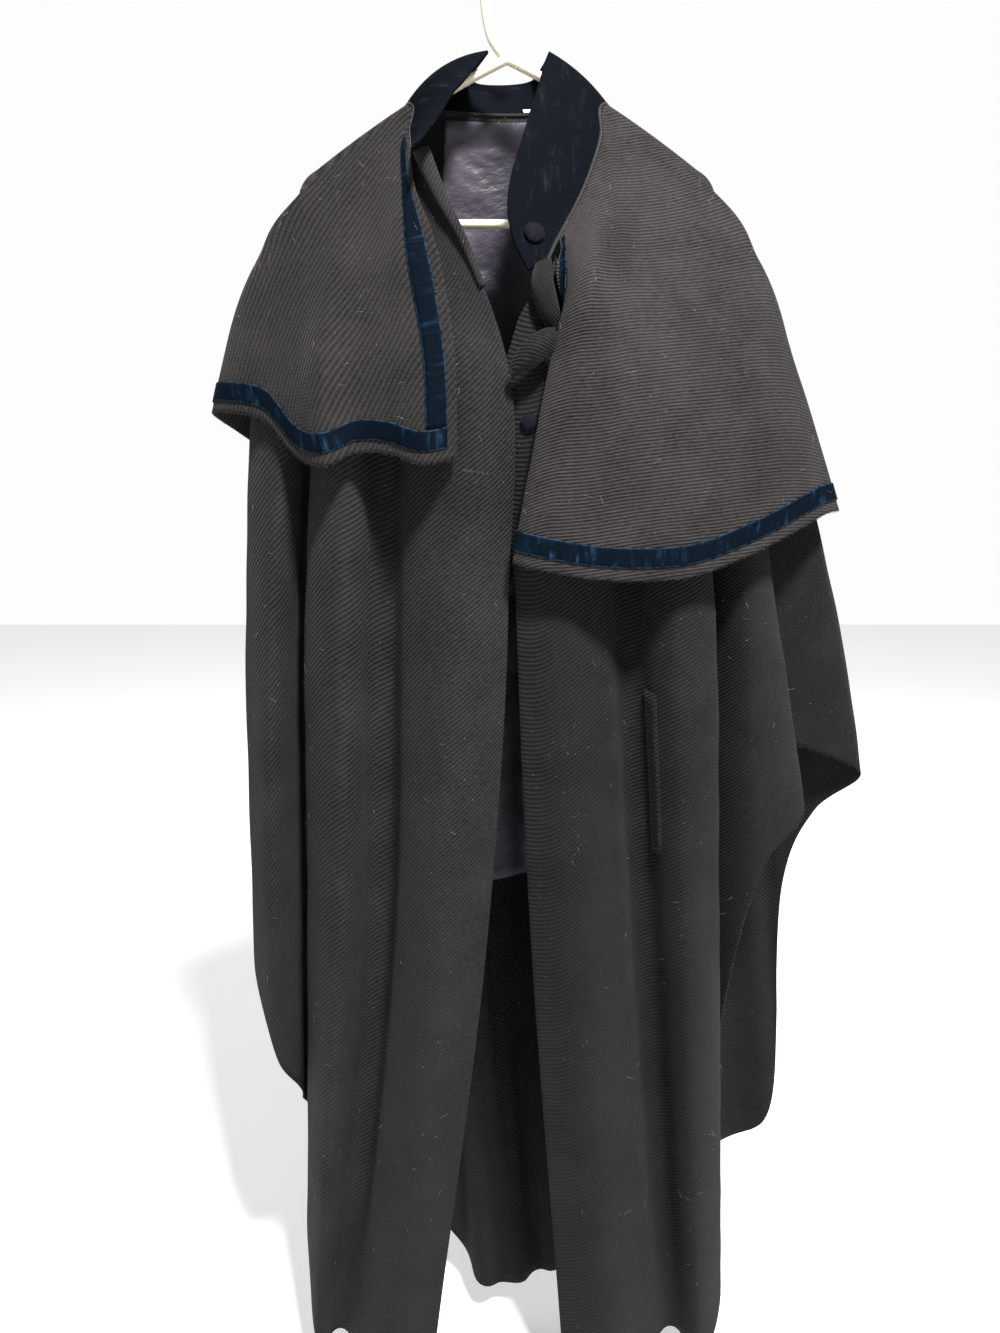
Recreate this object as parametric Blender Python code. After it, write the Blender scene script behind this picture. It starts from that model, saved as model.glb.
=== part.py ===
"""Long wool cloak with a shoulder cape and a velvet stand collar, hung on a plastic tube hanger.

The frame has its origin at the top of the inside of the hanger's hook, +X to the viewer's right, -Y towards
the viewer (the cloak's front) and +Z up. Right and left in names are the wearer's. Lengths are in metres.

Every panel is a sheet that falls from a row of seats, either along the neckline or along the hanger's arms.
A table has one row for each fold line, which is a ridge, a groove or an edge of the cloth, and says where that
line hangs at a few heights. A smooth curve joins the lines from the right front edge round the back to the left
front edge, and each cut piece is a stretch of that ring.
"""

import math
from collections import namedtuple

import bmesh
import bpy
import numpy as np
from mathutils import Vector

# Cloth
WOOL = 0.0020
RIBBON = 0.0012
SATIN = 0.0010
VELVET_COLLAR = 0.0030
SEAM_GAP = 0.0005
LAY_GAP = 0.0004

# Hanger
TUBE = 0.0090
HOOK_MEAN_RADIUS = 0.0230
HOOK_END_ANGLE = -50.0
NECK_Z = -0.0970
ARM_SLOPE = 0.45
ARM_DROOP = 0.75
ARM_STRAIGHT = 0.190
BAR_Z = -0.2495
TUBE_SIDES = 10

# How far the middle of each cloth layer lies from the middle of the hanger's arm
BODY_OVER_ARM = 0.0063
CAPE_OVER_ARM = 0.0092
BODY_TIP_GROWTH = 0.0010
CAPE_TIP_GROWTH = 0.0026

# Distance along the arm of the collar's seam and of the cloth's neck edge, over the arm and in front of it
SEAM_STATIONS = {0: 0.0950, 38: 0.0928, 75: 0.0912}
EDGE_STATIONS = {0: 0.0975, 38: 0.0953, 75: 0.0937}
NECK_EDGE_OUT = {-1: 0.0029, 1: 0.0022}
BODY_EDGE_OUT = {-1: 0.0060, 1: 0.0060}
BODY_EDGE_UNDER = 0.0040

# Heights of the stations in the tables
BREAST_Z = -0.380
HIP_Z = -0.620
KNEE_Z = -0.950
ANKLE_Z = -1.450
YOKE_Z = -0.280
CAPE_BREAST_Z = -0.400

# The seam where the cape and the collar meet, from the right end round the back to the left end. A seam that is
# one number is an angle round the hanger's arm. Out points away from the collar along the cape, and fall is the
# way in which the cape hangs from there.
Neck = namedtuple("Neck", "name seam collar_top swell out fall")
NECKLINE = (
    Neck("right_end", (-0.0920, -0.0350, -0.1900), (-0.0840, -0.0860, -0.2010), 0.000, (-0.97, -0.22, 0.05),
         (0.10, -0.42, -0.90)),
    Neck("right_tab", (-0.0935, -0.0250, -0.1790), (-0.0670, -0.0640, -0.1720), 0.002, (-0.97, -0.22, 0.05),
         (-0.30, -0.40, -0.87)),
    Neck("right_front", (-0.0950, -0.0160, -0.1670), (-0.0540, -0.0420, -0.1440), 0.004, (-0.98, -0.17, 0.12),
         (-0.40, -0.38, -0.83)),
    Neck("right_turn", 75, (-0.0380, -0.0210, -0.1190), 0.008, None, None),
    Neck("right_over", 38, (-0.0290, -0.0100, -0.1040), 0.009, None, None),
    Neck("right_neck", 0, (-0.0200, 0.0000, -0.0910), 0.010, None, None),
    Neck("right_behind", (-0.0960, 0.0120, -0.1365), (-0.0260, 0.0240, -0.0890), 0.006, (-0.12, 0.54, -0.83),
         (-0.12, 0.54, -0.83)),
    Neck("back_right", (-0.0800, 0.0260, -0.1350), (-0.0380, 0.0600, -0.0885), 0.003, (-0.15, 0.42, -0.90),
         (-0.15, 0.42, -0.90)),
    Neck("back_mid_right", (-0.0460, 0.0370, -0.1340), (-0.0330, 0.0840, -0.0885), 0.000, (-0.05, 0.40, -0.92),
         (-0.05, 0.40, -0.92)),
    Neck("back_centre", (-0.0020, 0.0420, -0.1340), (-0.0060, 0.0920, -0.0880), 0.000, (0.00, 0.40, -0.92),
         (0.00, 0.40, -0.92)),
    Neck("back_mid_left", (0.0420, 0.0380, -0.1340), (0.0220, 0.0840, -0.0880), 0.000, (0.05, 0.40, -0.92),
         (0.05, 0.40, -0.92)),
    Neck("back_left", (0.0790, 0.0260, -0.1350), (0.0320, 0.0600, -0.0885), 0.002, (0.15, 0.42, -0.90),
         (0.15, 0.42, -0.90)),
    Neck("left_behind", (0.0960, 0.0120, -0.1365), (0.0390, 0.0240, -0.0895), 0.003, (0.12, 0.54, -0.83),
         (0.12, 0.54, -0.83)),
    Neck("left_neck", 0, (0.0410, 0.0000, -0.0920), 0.004, None, None),
    Neck("left_over", 38, (0.0370, -0.0070, -0.1040), 0.004, None, None),
    Neck("left_turn", 75, (0.0335, -0.0150, -0.1180), 0.004, None, None),
    Neck("left_side", (0.0915, -0.0180, -0.1700), (0.0270, -0.0260, -0.1400), 0.003, (0.97, -0.05, -0.15),
         (0.35, -0.38, -0.85)),
    Neck("left_front", (0.0820, -0.0300, -0.2040), (0.0150, -0.0470, -0.1830), 0.002, (0.94, -0.06, -0.31),
         (0.42, -0.40, -0.81)),
    Neck("left_low", (0.0640, -0.0510, -0.2470), (0.0020, -0.0690, -0.2340), 0.001, (0.90, -0.10, -0.36),
         (0.36, -0.58, -0.73)),
    Neck("left_tab", (0.0530, -0.0620, -0.2680), (0.0010, -0.0770, -0.2600), 0.000, (0.88, -0.10, -0.40),
         (0.20, -0.60, -0.77)),
    Neck("left_round", (0.0440, -0.0720, -0.2860), (0.0080, -0.0830, -0.2880), 0.000, (0.89, -0.10, -0.37),
         (0.05, -0.62, -0.78)),
    Neck("left_end", (0.0370, -0.0800, -0.3020), (0.0200, -0.0865, -0.3110), 0.000, (0.89, -0.10, -0.37),
         (0.00, -0.60, -0.80)),
)
RIDGES = (5, 13)

# Where the cloak's own neck edge leaves the collar's seam and lies further in, under the cape, and how it falls there
CLOAK_NECK = {
    "right_end": ((-0.0760, -0.0340, -0.1880), (0.34, -0.38, -0.86)),
    "right_tab": ((-0.0870, -0.0250, -0.1840), (0.02, -0.32, -0.95)),
    "right_front": ((-0.0960, -0.0150, -0.1740), (-0.20, -0.28, -0.94)),
    "left_front": ((0.0860, -0.0260, -0.2090), (0.20, -0.30, -0.93)),
    "left_low": ((0.0650, -0.0430, -0.2550), (0.10, -0.40, -0.91)),
    "left_tab": ((0.0570, -0.0500, -0.2730), (0.06, -0.42, -0.90)),
    "left_round": ((0.0500, -0.0580, -0.2890), (0.00, -0.42, -0.90)),
    "left_end": ((0.0420, -0.0660, -0.3050), (-0.10, -0.42, -0.90)),
}


def arm(station):
    """Seat on an arm of the hanger, at a distance from its neck."""
    return ("arm", station)


def neck(place):
    """Seat on the neckline, at a place counted in the rows of its table."""
    return ("neck", place)


RIDGE = ("ridge", None)
TIP = ("tip", None)

# Fold lines of the cloak. Side is -1 at the front and 1 at the back. Each pair is x and y of the line at that
# station, and hem is the height of the cut edge.
Fold = namedtuple("Fold", "name side seat yoke breast hip knee ankle hem")
CLOAK = (
    Fold("right_edge", -1, neck(0), (-0.042, -0.072), (-0.004, -0.092), (0.001, -0.100), (-0.018, -0.107),
         (-0.078, -0.120), -1.500),
    Fold("right_bulge", -1, neck(2), (-0.080, -0.048), (-0.050, -0.095), (-0.055, -0.111), (-0.075, -0.125),
         (-0.130, -0.135), -1.505),
    Fold("right_crease", -1, RIDGE, None, (-0.115, -0.050), (-0.126, -0.060), (-0.136, -0.068), (-0.188, -0.080),
         -1.495),
    Fold("right_second", -1, arm(0.122), None, (-0.150, -0.060), (-0.168, -0.086), (-0.178, -0.098),
         (-0.216, -0.105), -1.480),
    Fold("right_turn", -1, arm(0.146), None, (-0.183, -0.035), (-0.208, -0.045), (-0.218, -0.050),
         (-0.237, -0.055), -1.390),
    Fold("right_hidden", -1, arm(0.166), None, (-0.193, -0.010), (-0.217, -0.006), (-0.228, -0.006),
         (-0.246, -0.010), -1.250),
    Fold("right_outer", -1, arm(0.186), None, (-0.216, -0.034), (-0.245, -0.052), (-0.258, -0.058),
         (-0.262, -0.060), -1.150),
    Fold("right_side", -1, TIP, None, (-0.255, 0.000), (-0.283, 0.002), (-0.294, 0.003), (-0.292, 0.003), -1.050),
    Fold("back_1", 1, arm(0.188), None, (-0.225, 0.032), (-0.250, 0.045), (-0.257, 0.055), (-0.235, 0.060), -1.120),
    Fold("back_2", 1, arm(0.160), None, (-0.190, 0.026), (-0.205, 0.034), (-0.205, 0.040), (-0.195, 0.045), -1.220),
    Fold("back_3", 1, arm(0.130), None, (-0.155, 0.056), (-0.165, 0.082), (-0.168, 0.100), (-0.165, 0.110), -1.340),
    Fold("back_4", 1, RIDGE, None, (-0.118, 0.038), (-0.120, 0.052), (-0.120, 0.062), (-0.118, 0.068), -1.420),
    Fold("back_5", 1, neck(7.5), None, (-0.075, 0.062), (-0.075, 0.086), (-0.073, 0.095), (-0.070, 0.060), -1.480),
    Fold("back_6", 1, neck(8.5), None, (-0.030, 0.050), (-0.030, 0.062), (-0.028, 0.060), (-0.025, 0.010), -1.510),
    Fold("back_7", 1, neck(9.5), None, (0.020, 0.064), (0.022, 0.088), (0.025, 0.088), (0.030, 0.030), -1.515),
    Fold("back_8", 1, neck(10.5), None, (0.070, 0.046), (0.072, 0.060), (0.075, 0.060), (0.080, 0.030), -1.490),
    Fold("back_9", 1, RIDGE, None, (0.112, 0.060), (0.120, 0.088), (0.130, 0.110), (0.140, 0.125), -1.440),
    Fold("back_10", 1, arm(0.120), None, (0.146, 0.040), (0.165, 0.054), (0.180, 0.065), (0.200, 0.075), -1.400),
    Fold("back_11", 1, arm(0.142), None, (0.182, 0.058), (0.210, 0.080), (0.255, 0.105), (0.310, 0.118), -1.385),
    Fold("back_12", 1, arm(0.160), None, (0.204, 0.050), (0.245, 0.070), (0.300, 0.098), (0.365, 0.108), -1.345),
    Fold("back_13", 1, arm(0.176), None, (0.224, 0.046), (0.275, 0.070), (0.325, 0.103), (0.384, 0.112), -1.230),
    Fold("back_14", 1, arm(0.190), None, (0.242, 0.040), (0.300, 0.066), (0.345, 0.096), (0.386, 0.100), -1.010),
    Fold("back_15", 1, arm(0.200), None, (0.262, 0.032), (0.335, 0.058), (0.385, 0.083), (0.420, 0.090), -0.905),
    Fold("left_side", 1, TIP, None, (0.276, 0.014), (0.364, 0.034), (0.444, 0.055), (0.560, 0.060), -0.845),
    Fold("left_under", -1, arm(0.200), None, (0.236, 0.006), (0.272, 0.012), (0.318, 0.015), (0.360, 0.015), -0.800),
    Fold("left_far", -1, arm(0.190), None, (0.238, -0.014), (0.286, -0.018), (0.348, -0.020), (0.400, -0.020),
         -0.868),
    Fold("left_light", -1, arm(0.178), None, (0.218, -0.036), (0.250, -0.045), (0.274, -0.055), (0.290, -0.060),
         -0.945),
    Fold("left_hidden", -1, arm(0.162), None, (0.180, -0.010), (0.208, -0.006), (0.231, -0.018), (0.256, -0.034),
         -1.220),
    Fold("left_turn", -1, arm(0.144), None, (0.182, -0.040), (0.213, -0.058), (0.232, -0.060), (0.256, -0.060),
         -1.465),
    Fold("left_second", -1, arm(0.122), None, (0.150, -0.060), (0.170, -0.090), (0.190, -0.098), (0.222, -0.096),
         -1.510),
    Fold("left_crease", -1, RIDGE, None, (0.113, -0.050), (0.124, -0.064), (0.147, -0.072), (0.190, -0.072), -1.500),
    Fold("left_bulge", -1, neck(17), (0.084, -0.050), (0.064, -0.083), (0.062, -0.101), (0.080, -0.122),
         (0.118, -0.130), -1.512),
    Fold("left_edge", -1, neck(21), (0.021, -0.084, -0.338), (0.003, -0.087), (0.009, -0.095), (0.024, -0.105),
         (0.062, -0.112), -1.500),
)

# Fold lines of the cape, with x and y at two stations and the whole point at the hem
Cape = namedtuple("Cape", "name side seat yoke breast hem")
CAPE = (
    Cape("right_edge", -1, neck(0), (-0.070, -0.080), (-0.049, -0.114), (-0.048, -0.120, -0.485)),
    Cape("right_wave", -1, neck(2), (-0.100, -0.074), (-0.082, -0.112), (-0.080, -0.126, -0.491)),
    Cape("right_dip", -1, RIDGE, (-0.122, -0.056), (-0.117, -0.098), (-0.113, -0.106, -0.481)),
    Cape("right_flat", -1, arm(0.120), (-0.143, -0.046), (-0.150, -0.088), (-0.146, -0.097, -0.480)),
    Cape("right_fold", -1, arm(0.145), (-0.165, -0.042), (-0.180, -0.092), (-0.177, -0.107, -0.492)),
    Cape("right_fall", -1, arm(0.166), (-0.190, -0.032), (-0.208, -0.062), (-0.209, -0.074, -0.482)),
    Cape("right_drop", -1, arm(0.186), (-0.214, -0.022), (-0.240, -0.040), (-0.245, -0.044, -0.447)),
    Cape("right_wing", -1, arm(0.200), (-0.236, -0.012), (-0.278, -0.022), (-0.287, -0.022, -0.437)),
    Cape("right_side", -1, TIP, (-0.254, 0.003), (-0.304, 0.010), (-0.314, 0.012, -0.436)),
    Cape("right_back_wing", 1, arm(0.200), (-0.238, 0.018), (-0.285, 0.042), (-0.300, 0.052, -0.452)),
    Cape("right_back_drop", 1, arm(0.186), (-0.214, 0.026), (-0.255, 0.060), (-0.270, 0.082, -0.475)),
    Cape("right_back_fall", 1, arm(0.166), (-0.190, 0.036), (-0.222, 0.070), (-0.232, 0.098, -0.490)),
    Cape("right_back_fold", 1, arm(0.145), (-0.165, 0.046), (-0.185, 0.086), (-0.190, 0.120, -0.505)),
    Cape("right_back_dip", 1, arm(0.120), (-0.138, 0.050), (-0.150, 0.082), (-0.150, 0.106, -0.510)),
    Cape("right_back_wave", 1, RIDGE, (-0.108, 0.058), (-0.112, 0.096), (-0.110, 0.128, -0.520)),
    Cape("back_right", 1, neck(7.5), (-0.062, 0.064), (-0.062, 0.096), (-0.060, 0.122, -0.525)),
    Cape("back_centre", 1, neck(9), (0.000, 0.068), (0.000, 0.104), (0.000, 0.138, -0.530)),
    Cape("back_left", 1, neck(10.5), (0.060, 0.064), (0.062, 0.098), (0.062, 0.124, -0.538)),
    Cape("left_back_wave", 1, RIDGE, (0.112, 0.058), (0.118, 0.096), (0.120, 0.130, -0.545)),
    Cape("left_back_dip", 1, arm(0.120), (0.146, 0.052), (0.158, 0.084), (0.168, 0.112, -0.550)),
    Cape("left_back_fold", 1, arm(0.145), (0.174, 0.048), (0.194, 0.086), (0.212, 0.126, -0.556)),
    Cape("left_back_fall", 1, arm(0.166), (0.200, 0.038), (0.234, 0.072), (0.262, 0.104, -0.556)),
    Cape("left_back_drop", 1, arm(0.186), (0.226, 0.028), (0.268, 0.058), (0.308, 0.082, -0.552)),
    Cape("left_back_wing", 1, arm(0.200), (0.246, 0.016), (0.294, 0.038), (0.345, 0.055, -0.545)),
    Cape("left_side", -1, TIP, (0.256, 0.002), (0.309, 0.011), (0.364, 0.020, -0.538)),
    Cape("left_wing", -1, arm(0.200), (0.245, -0.009), (0.297, -0.012), (0.344, -0.008, -0.540)),
    Cape("left_drop", -1, arm(0.186), (0.228, -0.020), (0.280, -0.032), (0.316, -0.036, -0.549)),
    Cape("left_fall", -1, arm(0.166), (0.204, -0.030), (0.250, -0.054), (0.275, -0.066, -0.566)),
    Cape("left_fold", -1, arm(0.145), (0.178, -0.038), (0.215, -0.072), (0.232, -0.090, -0.582)),
    Cape("left_flat", -1, arm(0.120), (0.152, -0.046), (0.180, -0.088), (0.185, -0.112, -0.596)),
    Cape("left_dip", -1, RIDGE, (0.128, -0.054), (0.145, -0.100), (0.140, -0.126, -0.600)),
    Cape("left_mid", -1, neck(17), (0.104, -0.068), (0.104, -0.110), (0.085, -0.133, -0.598)),
    Cape("left_near", -1, neck(18), (0.080, -0.082), (0.066, -0.116), (0.035, -0.131, -0.590)),
    Cape("left_folded", -1, neck(18.9), (0.062, -0.084, -0.290), (0.040, -0.109), (0.006, -0.123, -0.583)),
    Cape("left_flap", -1, neck(19.3), (0.055, -0.080, -0.296), (0.055, -0.099), (0.024, -0.111, -0.580)),
    Cape("left_edge", -1, neck(19.6), (0.048, -0.079, -0.301), (0.078, -0.098), (0.047, -0.110, -0.574)),
)

# Columns of the cape's left front edge, which is folded back, counted from its edge
FLAP_PLACES = (2.66, 2.33, 2.14, 2.0, 1.84, 1.62, 1.3, 1.0, 0.45, 0.0)

# Ribbon on the cape
TRIM_INSET = 0.0115
TRIM_WIDTH = 0.0190

# Rows of the sheets, as shares of their fall or of the collar's height
CLOAK_ROWS = (0.0, 0.022, 0.055, 0.10, 0.16, 0.23, 0.31, 0.42, 0.485, 0.55, 0.61, 0.69, 0.77, 0.85, 0.93, 1.0)
CAPE_ROWS = (0.0, 0.10, 0.22, 0.36, 0.52, 0.68, 0.84, 1.0)
COLLAR_ROWS = (0.0, 0.25, 0.5, 0.75, 1.0)
WELT_ROWS = (0.42, 0.55)
LINING_END = 0.61

# Loop of tape inside the back of the collar
LOOP_PLACES = (9.45, 9.86)
LOOP_ROWS = (0.90, 0.985)
TAPE = 0.0010

# Buttons
BUTTON_PROFILE = ((0.00, 1.00), (0.45, 0.95), (0.80, 0.72), (1.00, 0.34), (0.97, 0.12), (0.80, 0.00))
BUTTON_GAP = 0.0005
COLLAR_BUTTON = {"radius": 0.0102, "height": 0.0060, "along": 19.55, "across": 0.47}
FRONT_BUTTON = {"radius": 0.0085, "height": 0.0055, "along": -0.42, "height_m": -0.452}

COLOURS = {
    "wool": ((0.055, 0.050, 0.052), 0.92),
    "velvet": ((0.008, 0.016, 0.034), 0.70),
    "ribbon": ((0.006, 0.022, 0.050), 0.55),
    "satin": ((0.120, 0.105, 0.140), 0.38),
    "plastic": ((0.900, 0.860, 0.740), 0.35),
    "tape": ((0.720, 0.660, 0.520), 0.85),
}


def clear_scene():
    """Remove every object that the file opened with."""
    for thing in list(bpy.data.objects):
        bpy.data.objects.remove(thing, do_unlink=True)


def material(name):
    """Return the Principled material of that name, made on its first use."""
    found = bpy.data.materials.get(name)
    if found:
        return found
    colour, roughness = COLOURS[name]
    made = bpy.data.materials.new(name)
    made.use_nodes = True
    shader = made.node_tree.nodes["Principled BSDF"]
    shader.inputs["Base Color"].default_value = (*colour, 1.0)
    shader.inputs["Roughness"].default_value = roughness
    shader.inputs["Metallic"].default_value = 0.0
    made.diffuse_color = (*colour, 1.0)
    return made


def add_object(name, mesh, finish):
    """Link a mesh as one named, smooth-shaded piece."""
    mesh.materials.append(material(finish))
    mesh.shade_smooth()
    piece = bpy.data.objects.new(name, mesh)
    bpy.context.scene.collection.objects.link(piece)
    return piece


def smooth(knots, values, where):
    """Cubic curve through values at the knots, read at each place in where."""
    knots = np.asarray(knots, float)
    values = np.asarray(values, float)
    where = np.clip(np.atleast_1d(np.asarray(where, float)), knots[0], knots[-1])
    steps = np.diff(knots)
    slopes = np.diff(values, axis=0) / steps[:, None]
    tangents = np.empty_like(values)
    tangents[0] = slopes[0]
    tangents[-1] = slopes[-1]
    weight = (steps[:-1] / (steps[:-1] + steps[1:]))[:, None]
    tangents[1:-1] = slopes[:-1] * (1 - weight) + slopes[1:] * weight
    span = np.clip(np.searchsorted(knots, where, side="right") - 1, 0, len(steps) - 1)
    width = steps[span]
    t = ((where - knots[span]) / width)[:, None]
    width = width[:, None]
    rise = values[span] * (2 * t**3 - 3 * t**2 + 1) + values[span + 1] * (3 * t**2 - 2 * t**3)
    return rise + width * (tangents[span] * (t**3 - 2 * t**2 + t) + tangents[span + 1] * (t**3 - t**2))


def tip_circle():
    """Centre, radius and first angle of the round end of an arm, which meets the arm and the lower bar."""
    slope = ARM_SLOPE + 2 * ARM_DROOP * ARM_STRAIGHT
    fall = math.atan(slope)
    end_z = NECK_Z - ARM_SLOPE * ARM_STRAIGHT - ARM_DROOP * ARM_STRAIGHT**2
    radius = (end_z - BAR_Z) / (1 + math.cos(fall))
    centre = (ARM_STRAIGHT - radius * math.sin(fall), end_z - radius * math.cos(fall))
    return centre, radius, fall


TIP_CENTRE, TIP_RADIUS, TIP_FALL = tip_circle()
ARM_TIP = ARM_STRAIGHT + TIP_RADIUS * (math.pi / 2 - TIP_FALL)


def arm_point(station):
    """Middle of the arm and its outward normal, both as x and z, at a distance along the arm from the neck."""
    if station <= ARM_STRAIGHT:
        fall = math.atan(ARM_SLOPE + 2 * ARM_DROOP * station)
        middle = np.array([station, NECK_Z - ARM_SLOPE * station - ARM_DROOP * station**2])
    else:
        fall = TIP_FALL + (station - ARM_STRAIGHT) / TIP_RADIUS
        middle = np.array(TIP_CENTRE) + TIP_RADIUS * np.array([math.sin(fall), math.cos(fall)])
    return middle, np.array([math.sin(fall), math.cos(fall)])


def over_arm(station, hand, side, layer, angle):
    """Point of a cloth layer that wraps the arm: hand is -1 or 1 for the arm, side -1 for the front."""
    middle, normal = arm_point(station)
    flat = middle + layer * math.cos(angle) * normal
    return np.array([hand * flat[0], side * layer * math.sin(angle), flat[1]])


def neck_seam(row):
    """Point of the collar's seam for one row of the neckline's table."""
    if isinstance(row.seam, tuple):
        return np.array(row.seam)
    hand = -1 if row.name.startswith("right") else 1
    return over_arm(SEAM_STATIONS[row.seam], hand, -1, CAPE_OVER_ARM, math.radians(row.seam))


SEAMS = np.array([neck_seam(row) for row in NECKLINE])
SEAM_PLACES = np.concatenate([[0.0], np.cumsum(np.linalg.norm(np.diff(SEAMS, axis=0), axis=1))])


TIP_ZONE = 0.023
TIP_DROOP = 0.010
TIP_GROWTH_FROM = 0.185
LEAN_ZONE = 0.030
SPREAD_ZONE = 0.045
RIDGE_SPREAD = 0.0125


def arm_rows(station, hand, side, layer, growth, start=0.0):
    """Edge, middle and start of the fall of a layer at a distance along an arm. Growth lifts it at the arm's tip."""
    reach = min(1.0, max(0.0, ARM_TIP - station) / TIP_ZONE) ** 0.5
    beyond = max(0.0, station - EDGE_STATIONS[0])
    lean = max(0.0, 1.0 - beyond / LEAN_ZONE) if side > 0 else 0.0
    spread = RIDGE_SPREAD * max(0.0, 1.0 - beyond / SPREAD_ZONE) if side < 0 else 0.0
    layer += growth * max(0.0, (station - TIP_GROWTH_FROM) / (ARM_TIP - TIP_GROWTH_FROM))
    droop = np.array([0.0, 0.0, -TIP_DROOP]) * (1 - reach)**1.5
    quarter, last = math.pi / 4 * reach, math.pi / 2 * reach * (1 - 0.45 * lean)
    return np.array([over_arm(station, hand, side, layer, min(start, last)),
                     over_arm(station + spread / 2, hand, side, layer, quarter) + droop / 2,
                     over_arm(station + spread, hand, side, layer, last) + droop
                     + np.array([0.0, 0.0135, -0.0190]) * lean])


class NeckEdge:
    """The first three rows of a cloth layer along the neckline: its edge, half way down and the start of its fall."""

    DROP = {-1: 0.011, 1: 0.020}
    SPREAD = {38: 0.0100, 75: 0.0075}
    SINK = {38: 0.0020, 75: 0.0055}

    def __init__(self, layer, out, under, own_points):
        self.layer = layer
        self.out = out
        self.under = under
        self.own_points = own_points
        self.parts = {}
        for key, first, last, side in (("right", 0, RIDGES[0], -1), ("back", RIDGES[0], RIDGES[1], 1),
                                       ("left", RIDGES[1], len(NECKLINE) - 1, -1)):
            rows = np.array([self.station(place, side) for place in range(first, last + 1)])
            self.parts[key] = (SEAM_PLACES[first:last + 1], rows.reshape(len(rows), -1))

    def station(self, place, side):
        """Edge, middle and start of the fall at one row of the neckline's table."""
        row = NECKLINE[place]
        if isinstance(row.seam, tuple):
            edge, fall = self.own_points.get(row.name, (None, row.fall))
            if edge is None:
                along = SEAMS[place + 1] - SEAMS[place - 1] if 0 < place < len(SEAMS) - 1 else np.zeros(3)
                normal = np.cross(along, row.out)
                length = np.linalg.norm(normal)
                edge = SEAMS[place] + np.array(row.out) * self.out[side]
                if length > 0:
                    edge -= normal / length * self.under
            drop = np.array(fall) * self.DROP[side]
            return np.array([edge, edge + drop / 2, edge + drop])
        hand = -1 if row.name.startswith("right") else 1
        if row.seam == 0:
            return arm_rows(EDGE_STATIONS[0], hand, side, self.layer, 0.0)
        start = math.radians(row.seam)
        points = []
        for step in range(3):
            angle = start + (math.pi / 2 - start) * step / 2
            station = EDGE_STATIONS[row.seam] + self.SPREAD[row.seam] * step / 2
            points.append(over_arm(station, hand, side, self.layer, angle)
                          - np.array([0.0, 0.0, self.SINK[row.seam]]) * step / 2)
        return np.array(points)

    def rows(self, part, distance):
        """Edge, middle and start of the fall at a distance along the seam."""
        knots, values = self.parts[part]
        return smooth(knots, values, distance)[0].reshape(3, 3)


Line = namedtuple("Line", "name side hand kind station trail hem_z")


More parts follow.
